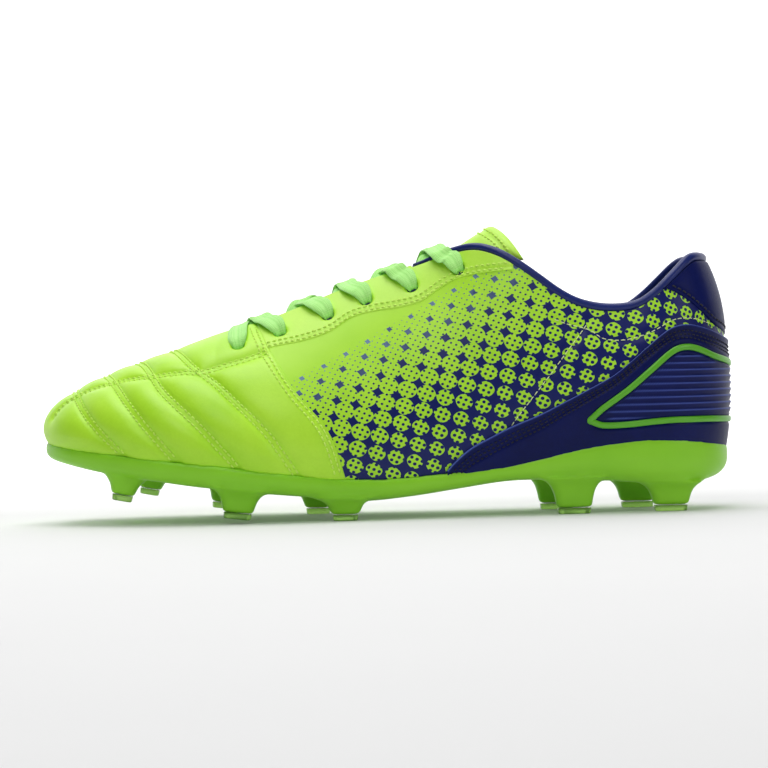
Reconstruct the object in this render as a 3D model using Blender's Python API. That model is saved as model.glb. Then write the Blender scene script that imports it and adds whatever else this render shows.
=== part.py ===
"""A left-foot soccer cleat for firm ground, size EU 42, as an assembly of its separate pieces.

All sizes below are in millimetres and become metres in link_mesh(). +X is the heel, -X the toe, -Y the
outer (lateral) side, +Y the inner (medial) side, +Z up. The origin is on the ground, under the middle
of the shoe's box. The shoe's outer skin is one smooth surface stretched over four rails that run from
the toe tip along one side to the back of the heel, and every leather, foam and lining piece is a patch
of that surface between two depths.
"""

import functools
import math

import bmesh
import bpy
from mathutils import Matrix, Vector

MM = 0.001
GAP = 0.3
# Where the middle of the shoe's box falls; everything is moved by this much, so that it is the origin.
BOX_MIDDLE = Vector((0.287, 0.398, 0))
LATERAL, MEDIAL = -1, 1

# The station along the shoe. Between the two axes it is X itself; past them it fans round the end.
TOE_AXIS, TOE_TIP = -70.0, -130.0
HEEL_AXIS, HEEL_BACK = 105.0, 155.0

# How far the toe tip leans to the inner side, and where that lean starts.
TOE_LEAN, LEAN_START, LEAN_LENGTH = 7.0, -40.0, 105.0
# The inner side is drawn in at the arch.
ARCH_DEPTH, ARCH_AT, ARCH_LENGTH = 0.07, 8.0, 38.0

# The four rails: height and half width by station, and how far they reach round the toe and the heel.
FEATHER = {
    "z": ((-130, 34), (-115, 32.7), (-100, 30.3), (-85, 26.9), (-70, 23.6), (-40, 19.1), (-18, 16.7),
          (0, 16.2), (20, 17.5), (45, 20), (65, 23.9), (85, 27.9), (105, 29.8), (118, 29.3),
          (135, 27.5), (155, 25.8)),
    "y": ((-100, 43.5), (-70, 44.5), (-40, 43.5), (-10, 38.5), (20, 33.5), (50, 31.5), (80, 32),
          (105, 32.5), (130, 32)),
    "toe": 72.8, "heel": 35.2,
}
BULGE = {
    "z": ((-130, 54), (-100, 50.5), (-70, 46.5), (-40, 44), (-10, 45), (20, 46), (50, 46), (80, 48),
          (105, 50), (155, 48)),
    "y": ((-100, 54), (-70, 55.5), (-40, 54), (-10, 48), (20, 42.5), (50, 39.5), (80, 39.5),
          (105, 39.5), (130, 39.5)),
    "toe": 84.0, "heel": 39.5,
}
SHOULDER = {
    "z": ((-130, 65.3), (-100, 67.6), (-85, 70.8), (-70, 74), (-60, 73.8), (-40, 75.8), (-25, 79),
          (-10, 82.5), (5, 86), (20, 89.5), (35, 88.5), (50, 82), (65, 74), (80, 68.5), (105, 68),
          (130, 75), (155, 80)),
    "y": ((-100, 26.5), (-70, 26), (-40, 26.5), (-10, 26), (20, 27), (50, 33), (80, 36), (105, 36.5),
          (130, 36)),
    "toe": 40.0, "heel": 38.5,
}
EDGE = {
    "z": ((-70, 77.3), (-57, 80.7), (-40, 86.5), (-26, 92), (-9, 98), (5, 102.3), (15, 105.6),
          (26, 109.2), (37, 111), (46, 108.5), (55, 103), (63, 97), (71, 90.9), (79, 86.6), (89, 84.3),
          (99, 84.4), (105, 86.2), (112, 90.5), (120, 96.6), (128, 102.2), (134, 104.3), (155, 104.3)),
    "y": ((-70, 0), (-66, 3.2), (-60, 5), (-40, 6.8), (-10, 8), (11, 9), (26, 12.5), (37, 18.5),
          (46, 23.5), (55, 27), (71, 30.3), (89, 31.2), (105, 31), (121, 31.2)),
    "toe": 0.0, "heel": 29.0,
}
RAILS = (FEATHER, BULGE, SHOULDER, EDGE)

# Seams, as (station, height) or, for the vamp's back seam, (height, station).
VAMP_SEAM = ((16, -18), (36.8, -25.2), (53, -38), (66.7, -46.6), (77, -51.7), (90, -57))
FACING_SEAM = ((-70, 66), (-46, 72.3), (-34, 74.5), (-23, 78), (-14, 83.6), (-5, 86), (5, 87.3),
               (15, 89.8), (23, 95), (30, 98.7), (39, 100.5), (51, 101.5))
FACING_BACK, TAB_FRONT = 52, 113
TAB_SEAM = ((113, 92.1), (118.6, 90), (125, 85.9), (131, 80.8), (138, 76), (155, 72))
COVER_EDGE = ((22, 17.8), (26.4, 22.8), (33.6, 28.6), (41, 32.4), (50, 36.7), (61, 41), (72, 46.2),
              (82.5, 51.4), (92, 56.4), (99, 61.6), (105, 66.6), (111.3, 72.3), (116, 75.3),
              (122, 76.3), (130.4, 74.6), (141, 71.6), (155, 69.3))
INLAY_TOP = ((82, 39.2), (87, 43), (97.5, 50.2), (105, 56.3), (113.5, 64.5), (118, 66.9),
             (124, 66.6), (134, 63), (155, 60))
INLAY_BOTTOM = ((82, 37.6), (87, 36.4), (97, 36.5), (115, 37.9), (155, 37.2))

# Depths of the layers below the outer skin's face; a positive depth stands proud of it. Nested layers
# share their columns and keep LAYER_GAP, so that no facet of one reaches the next.
LAYER_GAP = 0.6
SKIN = (0.0, -1.5)
COVER = (1.7, 0.5)
INLAY = (2.6, 2.0)
STIFFENER = (-2.1, -3.0)
LINING_AT, LINING_THICK = -3.6, 0.8
LINING_FOOT = -5.2
INLAY_HALF_WIDE = 1.2
# The collar padding: its thickest, where it starts and how long it takes to fill out, and its lowest t.
COLLAR_PAD, PAD_START, PAD_LENGTH, PAD_LOW = 5.0, 30, 35, 0.5
ROWS = 9
TOE_COLUMNS = (-76, -84, -93, -102, -111, -120)
SIDE_COLUMNS = (12, 22, 34, 43, 50, 54, 62, 71, 81, 90, 98)
HEEL_COLUMNS = (105, 112, 119, 127, 136, 145)

# The outsole: its underside by station, the wall round the cup, and the layers in it.
UNDERSIDE = ((-130, 26.4), (-115, 24.8), (-100, 21.5), (-85, 17.8), (-70, 14.2), (-50, 11.7), (-36, 10.3),
             (-12, 7.7), (9, 9), (29, 11.6), (48, 14), (65, 14.2), (88, 13.2), (105, 11.8),
             (125, 10.8), (140, 12), (155, 13.2))
PLATE = 3.2
CUP_WALL, CUP_FLARE = 2.4, 1.2
# Past these stations the cup's floor stays level, so that the turned-up toe doesn't thin the plate.
CUP_LEVEL_FROM, CUP_LEVEL_TO = -118.0, 140.0
BOARD, BOARD_INSET = 1.8, 5.0
SOCKLINER, SOCKLINER_INSET, SOCKLINER_CROWN = 3.6, 6.4, 0.6
PLAN_STEPS = (7, 12, 6)

# Studs: name, X, Y, length, width, height of the foot above the ground, forward tilt in degrees.
STUDS = (
    ("lateral_1", -110.0, -25.0, 8.4, 7.0, 10.2, 11.0),
    ("lateral_2", -62.3, -35.0, 11.4, 8.0, 2.0, 7.0),
    ("lateral_3", -18.3, -31.0, 10.4, 8.0, 0.0, 0.0),
    ("lateral_4", 75.6, -22.5, 13.6, 8.0, 0.0, 0.0),
    ("lateral_5", 115.7, -19.0, 13.6, 8.0, 0.0, 0.0),
    ("medial_1", -104.0, 34.0, 8.4, 7.0, 10.2, 11.0),
    ("medial_2", -71.5, 38.0, 11.4, 8.0, 3.2, 7.0),
    ("medial_3", -31.0, 34.0, 10.4, 8.0, 0.0, 0.0),
    ("medial_4", 71.0, 22.0, 13.6, 8.0, 0.0, 0.0),
    ("medial_5", 105.5, 20.0, 13.6, 8.0, 0.0, 0.0),
)
STUD_TIP = 2.5
STUD_CORNER = 2.6
STUD_SINK = 1.4

# Eyelets: station and height of each row, the hole, and the flat lace that runs through them.
EYELETS = ((-60.9, 71.0), (-42.7, 77.0), (-23.8, 84.0), (-6.8, 89.6), (12.2, 95.2), (30.5, 101.6))
EYELET_RADIUS = 3.0
LACE_HALF_THICK = 0.5
LACE_HALF_WIDE = 3.4
LACE_HALF_BUNCHED = 1.2
LACE_SLOPE = Vector((0.948, 0, 0.317))

# The tongue: height of its ridge by X, half width by X, and its three layers. Its free top bends at
# TONGUE_BEND, just above the last crossing of the lace, and is narrow enough to pass between the facings.
TONGUE_RIDGE = ((-76, 70.8), (-70, 72.6), (-60, 76.2), (-40, 83.4), (-26, 88.9), (-9, 95), (5, 99.8),
                (15, 103.6), (27, 109.6), (36, 115.2), (46, 121.3), (60, 129))
TONGUE_LOWER = ((-76, 12), (-64, 16), (-40, 18.5), (-9, 19), (24, 19))
TONGUE_UPPER = ((24, 9), (30, 10.4), (40, 13.6), (57, 19))
TONGUE_FRONT, TONGUE_PAD_FRONT, TONGUE_BEND = -76.0, -62.0, 25.0
TONGUE_BEND_ROOM = 1.6
TONGUE_END, TONGUE_END_CURVE = 46.0, 11.0
TONGUE_COVER, TONGUE_PAD, TONGUE_BACK = 1.1, 2.6, 0.8
TONGUE_TOP_CURVE = 0.042

BINDING_RADIUS = 1.5
BINDING_START = 12.0

COLOURS = {
    "lime_leather": ((0.42, 0.80, 0.07, 1), 0.45),
    "printed_leather": ((0.30, 0.62, 0.07, 1), 0.42),
    "navy_leather": ((0.012, 0.022, 0.12, 1), 0.45),
    "navy_mesh": ((0.02, 0.04, 0.18, 1), 0.85),
    "green_sole": ((0.20, 0.55, 0.03, 1), 0.35),
    "clear_tip": ((0.45, 0.62, 0.30, 1), 0.15),
    "green_inlay": ((0.13, 0.45, 0.03, 1), 0.35),
    "lace_fabric": ((0.36, 0.85, 0.20, 1), 0.8),
    "foam": ((0.75, 0.75, 0.72, 1), 0.9),
    "board": ((0.70, 0.62, 0.48, 1), 0.85),
    "stiffener": ((0.55, 0.56, 0.58, 1), 0.6),
}


def clear_scene():
    for obj in list(bpy.data.objects):
        bpy.data.objects.remove(obj)


def material(name):
    """The named material, made the first time it's asked for."""
    found = bpy.data.materials.get(name)
    if found:
        return found
    colour, roughness = COLOURS[name]
    made = bpy.data.materials.new(name)
    made.use_nodes = True
    shader = made.node_tree.nodes["Principled BSDF"]
    shader.inputs["Base Color"].default_value = colour
    shader.inputs["Roughness"].default_value = roughness
    return made


def spline(keys, at):
    """A smooth curve through (place, value) keys, level past both ends."""
    if at <= keys[0][0]:
        return float(keys[0][1])
    if at >= keys[-1][0]:
        return float(keys[-1][1])
    i = max(n for n in range(len(keys) - 1) if keys[n][0] <= at)

    def slope(n):
        low, high = max(n - 1, 0), min(n + 1, len(keys) - 1)
        return (keys[high][1] - keys[low][1]) / (keys[high][0] - keys[low][0])

    (x0, y0), (x1, y1) = keys[i], keys[i + 1]
    span = x1 - x0
    s = (at - x0) / span
    return (
        y0 * (2 * s**3 - 3 * s**2 + 1)
        + slope(i) * span * (s**3 - 2 * s**2 + s)
        + y1 * (3 * s**2 - 2 * s**3)
        + slope(i + 1) * span * (s**3 - s**2)
    )


def steps(start, end, count):
    """count + 1 evenly spaced values from start to end."""
    return [start + (end - start) * n / count for n in range(count + 1)]


def fan_angle(station):
    """How far round the toe (negative) or heel (positive) a station is, in radians."""
    if station < TOE_AXIS:
        return -(TOE_AXIS - station) / (TOE_AXIS - TOE_TIP) * math.pi / 2
    if station > HEEL_AXIS:
        return (station - HEEL_AXIS) / (HEEL_BACK - HEEL_AXIS) * math.pi / 2
    return 0.0


def plan_shift(x, y, side):
    """Y after the arch is drawn in and the toe leans inwards."""
    if side == MEDIAL:
        y *= 1 - ARCH_DEPTH * math.exp(-(((x - ARCH_AT) / ARCH_LENGTH) ** 2))
    lean = max(0.0, (LEAN_START - x) / LEAN_LENGTH)
    return side * y + TOE_LEAN * lean**2


def rail_point(rail, station, side, grow=0.0, z=None):
    """A point on a rail, or on the same rail grown outwards in plan and put at another height."""
    angle = fan_angle(station)
    inner = min(max(station, TOE_AXIS), HEEL_AXIS)
    half = spline(rail["y"], inner) + grow
    reach = (rail["toe"] if angle < 0 else rail["heel"]) + grow
    x = inner + reach * math.sin(angle)
    height = spline(rail["z"], station) if z is None else z
    return Vector((x, plan_shift(x, half * math.cos(angle), side), height))


def skin_face(station, t, side):
    """The outer skin: a cubic blend of the four rails, from the feather line (t = 0) to the top edge."""
    a, b, c, d = (rail_point(rail, station, side) for rail in RAILS)
    u = 1 - t
    return a * u**3 + b * 3 * u * u * t + c * 3 * u * t * t + d * t**3


def skin_point(station, t, side, depth=0.0):
    """A point above (+) or below (-) the skin's face, along its outward normal."""
    here = skin_face(station, t, side)
    if not depth:
        return here
    if t > 0.999 and station < TOE_AXIS + 0.01:
        station, t = TOE_TIP, 0.95
    if station in (TOE_TIP, HEEL_BACK):
        side = LATERAL
    low, high = max(t - 0.01, 0), min(t + 0.01, 1)
    middle = (low + high) / 2
    fore, aft = max(station - 0.5, TOE_TIP), min(station + 0.5, HEEL_BACK)
    up = skin_face(station, high, side) - skin_face(station, low, side)
    along = skin_face(aft, middle, side) - skin_face(fore, middle, side)
    normal = along.cross(up).normalized() * -side
    if station in (TOE_TIP, HEEL_BACK):
        normal.y = 0
        normal.normalize()
    return here + normal * depth


@functools.lru_cache(maxsize=None)
def t_at(station, height, side=LATERAL):
    """The t at which a rib reaches a height."""
    low, high = 0.0, 1.0
    for _ in range(20):
        middle = (low + high) / 2
        if skin_face(station, middle, side).z < height:
            low = middle
        else:
            high = middle
    return (low + high) / 2


def link_mesh(name, mesh_data, finish):
    """Turns a bmesh in millimetres into an object in metres."""
    bmesh.ops.translate(mesh_data, vec=-BOX_MIDDLE, verts=mesh_data.verts)
    bmesh.ops.scale(mesh_data, vec=(MM, MM, MM), verts=mesh_data.verts)
    bmesh.ops.remove_doubles(mesh_data, verts=mesh_data.verts, dist=2e-6)
    bmesh.ops.recalc_face_normals(mesh_data, faces=mesh_data.faces)
    mesh = bpy.data.meshes.new(name)
    mesh_data.to_mesh(mesh)
    mesh_data.free()
    mesh.shade_smooth()
    mesh.set_sharp_from_angle(angle=math.radians(40))
    obj = bpy.data.objects.new(name, mesh)
    bpy.context.scene.collection.objects.link(obj)
    if finish:
        obj.data.materials.append(material(finish))
    return obj


def add_solid(name, rings, finish, endless=False):
    """A solid through rings of points. Its two ends are filled, or if it's endless they are joined."""
    bm = bmesh.new()
    rows = [[bm.verts.new(p) for p in ring] for ring in rings]
    count = len(rows[0])
    pairs = list(zip(rows, rows[1:]))
    if endless:
        pairs.append((rows[-1], rows[0]))
    else:
        bm.faces.new(rows[0])
        bm.faces.new(rows[-1])
    for first, second in pairs:
        for i in range(count):
            j = (i + 1) % count
            bm.faces.new((first[i], first[j], second[j], second[i]))
    return link_mesh(name, bm, finish)


def add_shell(name, outer, inner, finish):
    """A closed shell between two grids of points, given as equal lists of columns."""
    rings = [list(out) + list(reversed(inn)) for out, inn in zip(outer, inner)]
    bm = bmesh.new()
    rows = [[bm.verts.new(p) for p in ring] for ring in rings]
    count, half = len(rows[0]), len(outer[0])
    for first, second in zip(rows, rows[1:]):
        for i in range(count):
            j = (i + 1) % count
            bm.faces.new((first[i], first[j], second[j], second[i]))
    for end in (rows[0], rows[-1]):
        for i in range(half - 1):
            bm.faces.new((end[i], end[i + 1], end[count - 2 - i], end[count - 1 - i]))
    return link_mesh(name, bm, finish)


def around(lateral_stations, end):
    """(station, side) columns along the lateral side, round one end, and back on the medial side."""
    out = [(q, LATERAL) for q in lateral_stations]
    back = [(q, MEDIAL) for q in reversed(lateral_stations)]
    return out + [(end, LATERAL)] + back


def add_patch(name, columns, span, rows, depths, finish):
    """A patch of the skin between two depths. span(station) gives its lowest and highest t."""
    grids = []
    for depth in depths:
        grid = []
        for station, side in columns:
            low, high = span(station, side)
            grid.append([skin_point(station, t, side, depth) for t in steps(low, high, rows)])
        grids.append(grid)
    return add_shell(name, grids[0], grids[1], finish)


def seam_column(side, span, rows, depth, front, share, back):
    """Points up a rib that leans: share is how far it is from the station front(t) to the station back."""
    column = []
    for row in range(rows + 1):
        station = front(0.5) + share * (back - front(0.5))
        for _ in range(6):
            low, high = span(station, side)
            t = low + (high - low) * row / rows
            station = front(t) + share * (back - front(t))
        column.append(skin_point(station, t, side, depth))
    return column


def straight_column(station, side, span, rows, depth):
    low, high = span(station, side)
    return [skin_point(station, t, side, depth) for t in steps(low, high, rows)]


def slanted_patch(name, side, front, back, leaning, stations, span, rows, finish):
    """A patch of skin whose front edge is a slanting seam; past the station back its ribs are upright."""
    grids = []
    for depth in SKIN:
        grid = [seam_column(side, span, rows, depth, front, share, back)
                for share in steps(0, 1, leaning)]
        grid += [straight_column(station, side, span, rows, depth) for station in stations]
        grids.append(grid)
    return add_shell(name, grids[0], grids[1], finish)


def vamp_back(t, gap=0.0):
    """The station of the vamp's back seam at t, plus a gap."""
    station = -30.0
    for _ in range(6):
        height = skin_face(station, t, LATERAL).z
        station = spline(VAMP_SEAM, height)
    return station + gap


def facing_low(station):
    return t_at(station, spline(FACING_SEAM, station))


def binding_margin(station, side):
    """The t at which the skin stops short of the binding roll along the collar."""
    if station < BINDING_START - GAP:
        return 1.0
    rib = skin_face(station, 1, side) - skin_face(station, 0.9, side)
    return 1 - 0.1 * (BINDING_RADIUS + GAP + 0.3) / rib.length


def quarter_top(station, side):
    """The quarter runs up to the facing, the collar or the heel tab."""
    if station < FACING_BACK:
        return facing_low(station)
    if station < TAB_FRONT:
        return binding_margin(station, side)
    return t_at(station, spline(TAB_SEAM, station) - GAP)


def plan_stations():
    """Stations down one whole side, toe tip to heel back, denser round the ends."""
    toe = steps(TOE_TIP, TOE_AXIS, PLAN_STEPS[0])
    side = steps(TOE_AXIS, HEEL_AXIS, PLAN_STEPS[1])
    heel = steps(HEEL_AXIS, HEEL_BACK, PLAN_STEPS[2])
    return toe + side[1:] + heel[1:]


def loop_at(stations, grow, height):
    """A closed plan loop: toe tip, lateral side, heel back, medial side."""
    lateral = [rail_point(FEATHER, q, LATERAL, grow, height(q)) for q in stations]
    medial = [rail_point(FEATHER, q, MEDIAL, grow, height(q)) for q in stations[1:-1]]
    return lateral, medial


def add_stacked(name, levels, stations, finish):
    """A solid whose sides pass through plan loops, with a flat ladder of faces across both ends."""
    bm = bmesh.new()
    loops = []
    for grow, height in levels:
        lateral, medial = loop_at(stations, grow, height)
        left = [bm.verts.new(p) for p in lateral]
        right = [bm.verts.new(p) for p in medial]
        loops.append((left, right))
    for (left_a, right_a), (left_b, right_b) in zip(loops, loops[1:]):
        ring_a = left_a + list(reversed(right_a))
        ring_b = left_b + list(reversed(right_b))
        for i in range(len(ring_a)):
            j = (i + 1) % len(ring_a)
            bm.faces.new((ring_a[i], ring_a[j], ring_b[j], ring_b[i]))
    for left, right in (loops[0], loops[-1]):
        bm.faces.new((left[0], left[1], right[0]))
        bm.faces.new((left[-1], left[-2], right[-1]))
        for i in range(1, len(left) - 2):
            bm.faces.new((left[i], left[i + 1], right[i], right[i - 1]))
    return link_mesh(name, bm, finish)


def feather_z(station):
    return spline(FEATHER["z"], station)


def underside_z(station):
    return spline(UNDERSIDE, station)


def cup_floor(station):
    return underside_z(min(max(station, CUP_LEVEL_FROM), CUP_LEVEL_TO)) + PLATE


def underside_at(x):
    """The underside's height at an X, which past the two axes isn't the station."""
    if x < TOE_AXIS:
        angle = math.asin((TOE_AXIS - x) / FEATHER["toe"])
        return underside_z(TOE_AXIS - angle / (math.pi / 2) * (TOE_AXIS - TOE_TIP))
    if x > HEEL_AXIS:
        angle = math.asin((x - HEEL_AXIS) / FEATHER["heel"])
        return underside_z(HEEL_AXIS + angle / (math.pi / 2) * (HEEL_BACK - HEEL_AXIS))
    return underside_z(x)


def between(share):
    """A height that is a share of the way from the rim down to the underside."""
    return lambda q: feather_z(q) - share * (feather_z(q) - underside_z(q))


def rounded_box(length, width, corner, z):
    """A rounded rectangle of points at height z, about the origin."""
    points = []
    for quarter in range(4):
        sign_x = (1, -1, -1, 1)[quarter]
        sign_y = (1, 1, -1, -1)[quarter]
        centre = (sign_x * (length / 2 - corner), sign_y * (width / 2 - corner))
        for step in range(3):
            angle = math.radians(90 * quarter + 45 * step)
            points.append(Vector((centre[0] + corner * math.cos(angle),
                                  centre[1] + corner * math.sin(angle), z)))
    return points


def stud_rings(stud, levels):
    """Rings of a stud at (height above its foot, growth) levels, tilted about its foot."""
    _, x, y, length, width, foot, tilt = stud
    place = Matrix.Translation((x, y, foot)) @ Matrix.Rotation(math.radians(tilt), 4, "Y")
    return [[place @ p for p in rounded_box(length + grow, width + 0.8 * grow,
                                            STUD_CORNER + grow / 4, height)]
            for height, grow in levels]


def combine(target, other, operation):
    """Joins another object to target (UNION) or cuts it away (DIFFERENCE), and hides the other."""
    other.hide_render = True
    other.display_type = "WIRE"
    modifier = target.modifiers.new(other.name, "BOOLEAN")
    modifier.operation = operation
    modifier.solver = "EXACT"
    modifier.object = other


def make_outsole():
    stations = plan_stations()
    levels = (
        (-CUP_WALL - CUP_FLARE, cup_floor),
        (-CUP_WALL, lambda q: feather_z(q) - GAP),
        (0.9, lambda q: feather_z(q) - GAP),
        (1.5, between(0.35)),
        (0.0, between(0.72)),
        (-4.5, between(0.96)),
        (-11.0, between(1.0)),
    )
    outsole = add_stacked("outsole", levels, stations, "green_sole")
    for stud in STUDS:
        base = underside_at(stud[1]) + STUD_SINK - stud[5]
        grown = ((STUD_TIP + GAP, 0.9), (0.45 * base, 2.2), (0.78 * base, 4.2), (base, 8.5))
        rings = stud_rings(stud, grown)
        combine(outsole, add_solid("stud_" + stud[0], rings, None), "UNION")
        tip = stud_rings(stud, ((0, -0.5), (0.5, 0), (STUD_TIP, 0.9)))
        add_solid("stud_tip_" + stud[0], tip, "clear_tip")


def make_footbed():
    def above_floor(height):
        return lambda q: cup_floor(q) + height

    stations = plan_stations()
    liner_low = 2 * GAP + BOARD
    liner_high = liner_low + SOCKLINER
    board = ((-BOARD_INSET, above_floor(GAP)), (-BOARD_INSET, above_floor(GAP + BOARD)))
    liner = ((-SOCKLINER_INSET - 0.2, above_floor(liner_low)),
             (-SOCKLINER_INSET, above_floor(liner_high)),
             (-SOCKLINER_INSET - 2.6, above_floor(liner_high - SOCKLINER_CROWN)))
    add_stacked("insole_board", board, stations, "board")
    add_stacked("sockliner", liner, stations, "navy_mesh")


def make_vamp():
    def whole(station, side):
        return 0.0, 1.0

    grids = []
    for depth in SKIN:
        halves = []
        for side in (LATERAL, MEDIAL):
            half = [seam_column(side, whole, ROWS, depth, lambda t: vamp_back(t, -GAP / 2), share,
                                TOE_COLUMNS[0]) for share in steps(0, 1, 6)]
            half += [straight_column(q, side, whole, ROWS, depth) for q in TOE_COLUMNS[1:]]
            halves.append(half)
        tip = straight_column(TOE_TIP, LATERAL, whole, ROWS, depth)
        grids.append(halves[0] + [tip] + list(reversed(halves[1])))
    vamp = add_shell("vamp", grids[0], grids[1], "lime_leather")
    for side in (LATERAL, MEDIAL):
        combine(vamp, eyelet_cutter(0, side), "DIFFERENCE")
    add_patch("toe_puff", around(TOE_COLUMNS[1:], TOE_TIP), lambda q, side: (1 / ROWS, 6 / ROWS), 5,
              STIFFENER, "stiffener")


def eyelet(row):
    """(station, t) of an eyelet."""
    station, height = EYELETS[row]
    return station, t_at(station, height)


def eyelet_cutter(row, side):
    """A round punch through the skin at an eyelet."""
    station, t = eyelet(row)
    top, bottom = skin_point(station, t, side, 2.0), skin_point(station, t, side, -4.0)
    turn = (top - bottom).to_track_quat("Z", "Y").to_matrix().to_4x4()
    place = Matrix.Translation((top + bottom) / 2) @ turn
    ring = [Vector((EYELET_RADIUS * math.cos(a), EYELET_RADIUS * math.sin(a), 0))
            for a in steps(0, 2 * math.pi, 8)[:-1]]
    rings = [[place @ (p + Vector((0, 0, z))) for p in ring] for z in (-3, 3)]
    name = f"eyelet_punch_{row + 1}_{'lateral' if side == LATERAL else 'medial'}"
    return add_solid(name, rings, None)


def side_name(side):
    return "lateral" if side == LATERAL else "medial"


def make_quarters():
    def span(station, side):
        return 0.0, quarter_top(station, side) - 0.006

    stations = SIDE_COLUMNS[1:] + HEEL_COLUMNS + (HEEL_BACK - 0.5,)
    for side in (LATERAL, MEDIAL):
        slanted_patch(f"quarter_{side_name(side)}", side, lambda t: vamp_back(t, GAP / 2),
                      SIDE_COLUMNS[0], 4, stations, span, 7, "printed_leather")


def make_facings():
    """The eyestays: from the vamp seam to the collar, above the facing seam."""
    def span(station, side):
        return facing_low(station) + 0.006, binding_margin(station, side)

    for side in (LATERAL, MEDIAL):
        facing = slanted_patch(f"facing_{side_name(side)}", side, lambda t: vamp_back(t, GAP / 2),
                               SIDE_COLUMNS[0], 4, SIDE_COLUMNS[1:5], span, 2,
                               "lime_leather")
        for row in range(1, len(EYELETS)):
            combine(facing, eyelet_cutter(row, side), "DIFFERENCE")


def make_heel():
    cover = around((24.5, 28) + SIDE_COLUMNS[2:] + HEEL_COLUMNS, HEEL_BACK)
    add_patch("heel_cover", cover, lambda q, side: (0.02, t_at(q, spline(COVER_EDGE, q))),
              6, COVER, "navy_leather")
    tab = around((117,) + HEEL_COLUMNS[2:], HEEL_BACK)
    add_patch("heel_tab", tab, lambda q, side: (t_at(q, spline(TAB_SEAM, q)), binding_margin(q, side)),
              3, SKIN, "navy_leather")
    counter = around(SIDE_COLUMNS[6:] + HEEL_COLUMNS, HEEL_BACK)
    add_patch("heel_counter", counter,
              lambda q, side: (0.06, 0.14 + 0.36 * min(1, (q - 50) / 50)), 4, STIFFENER, "stiffener")
    make_inlay()


def make_inlay():
    """The green line on the heel cover: a closed ring that runs to a point on each side."""
    stations = [82, 85, 90, 96, 102, 108, 114, 119, 124, 130, 137, 145, 152]
    path = []
    for keys, order in ((INLAY_TOP, 1), (INLAY_BOTTOM, -1)):
        lateral = [(q, LATERAL, spline(keys, q)) for q in stations]
        medial = [(q, MEDIAL, spline(keys, q)) for q in reversed(stations)]
        run = lateral + [(HEEL_BACK, LATERAL, spline(keys, HEEL_BACK))] + medial
        path += run if order == 1 else list(reversed(run))
    middle = [skin_point(q, t_at(q, z, s), s, 0) for q, s, z in path]
    rings = []
    for n, (q, side, z) in enumerate(path):
        ahead, behind = middle[(n + 1) % len(path)], middle[n - 1]
        t = t_at(q, z, side)
        top, low = skin_point(q, t, side, INLAY[0]), skin_point(q, t, side, INLAY[1])
        across = (ahead - behind).cross(top - low).normalized() * INLAY_HALF_WIDE
        rings.append([top + across, top - across, low - across, low + across])
    add_solid("heel_inlay", rings, "green_inlay", endless=True)


def pad_share(station):
    """How much of the collar padding is there at a station: none at the throat, all from mid collar on."""
    return min(1.0, max(0.0, (station - PAD_START) / PAD_LENGTH))


def pad_swell(t):
    """The crescent of the collar padding up a rib."""
    s = min(1.0, max(0.0, (t - PAD_LOW) / (1 - PAD_LOW)))
    return math.sin(math.pi * s) ** 0.8 if 0 < s < 1 else 0.0


def lining_column(station, side, levels, extra):
    """Points up the inside of one rib: from the board, up the skin at each t in levels, over the pad."""
    foot = cup_floor(station) + 2 * GAP + BOARD
    rim = feather_z(station)
    points = [rail_point(FEATHER, station, side, LINING_FOOT - extra, foot + share * (rim - foot))
              for share in (0.0, 0.6)]
    for t in levels:
        swell = pad_share(station) * COLLAR_PAD * pad_swell(t)
        points.append(skin_point(station, t, side, LINING_AT - extra - swell))
    return points


def add_lining(name, columns, levels):
    grids = [[lining_column(q, side, levels(q, side), extra) for q, side in columns]
             for extra in (0.0, LINING_THICK)]
    add_shell(name, grids[0], grids[1], "navy_mesh")


def make_linings():
    def vamp_levels(station, side):
        reach = min(1.0, max(0.0, (-70 - station) / 18))
        return steps(1 / ROWS, (6 + 2 * reach) / ROWS, 7)

    def quarter_top_inside(station, side):
        if station < FACING_BACK:
            return facing_low(station) - 0.12
        return binding_margin(station, side) - 0.004

    def quarter_levels(station, side):
        return steps(0.08, quarter_top_inside(station, side), 7)

    add_lining("vamp_lining", around((-36, -46, -56, -66) + TOE_COLUMNS, TOE_TIP), vamp_levels)
    side_stations = (-34, -20, -6) + SIDE_COLUMNS + HEEL_COLUMNS
    add_lining("quarter_lining", around(side_stations, HEEL_BACK), quarter_levels)

    outer, inner = [], []
    for station, side in around(SIDE_COLUMNS[5:] + HEEL_COLUMNS, HEEL_BACK):
        heights = steps(0.58, quarter_top_inside(station, side) - 0.07, 5)
        outer.append([skin_point(station, t, side, SKIN[1] - LAYER_GAP) for t in heights])
        inner.append([skin_point(station, t, side, LINING_AT + LAYER_GAP - pad_share(station)
                                 * COLLAR_PAD * pad_swell(t)) for t in heights])
    add_shell("collar_padding", outer, inner, "foam")


def make_binding():
    """The rolled edge along the collar, from one facing round the heel to the other."""
    columns = around((BINDING_START, 17, 22, 28) + SIDE_COLUMNS[2:] + HEEL_COLUMNS, HEEL_BACK)
    line = [skin_point(q, 1.0, side, -BINDING_RADIUS + 0.6) for q, side in columns]
    add_solid("collar_binding", tube_rings(line, BINDING_RADIUS, 6), "navy_leather")


def tube_rings(line, radius, sides):
    """Round rings along a line of points."""
    rings = []
    for n, point in enumerate(line):
        along = (line[min(n + 1, len(line) - 1)] - line[max(n - 1, 0)]).normalized()
        across = along.cross(Vector((0, 0, 1))).normalized()
        up = across.cross(along)
        rings.append([point + across * radius * math.cos(a) + up * radius * math.sin(a)
                      for a in steps(0, 2 * math.pi, sides)[:-1]])
    return rings


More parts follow.
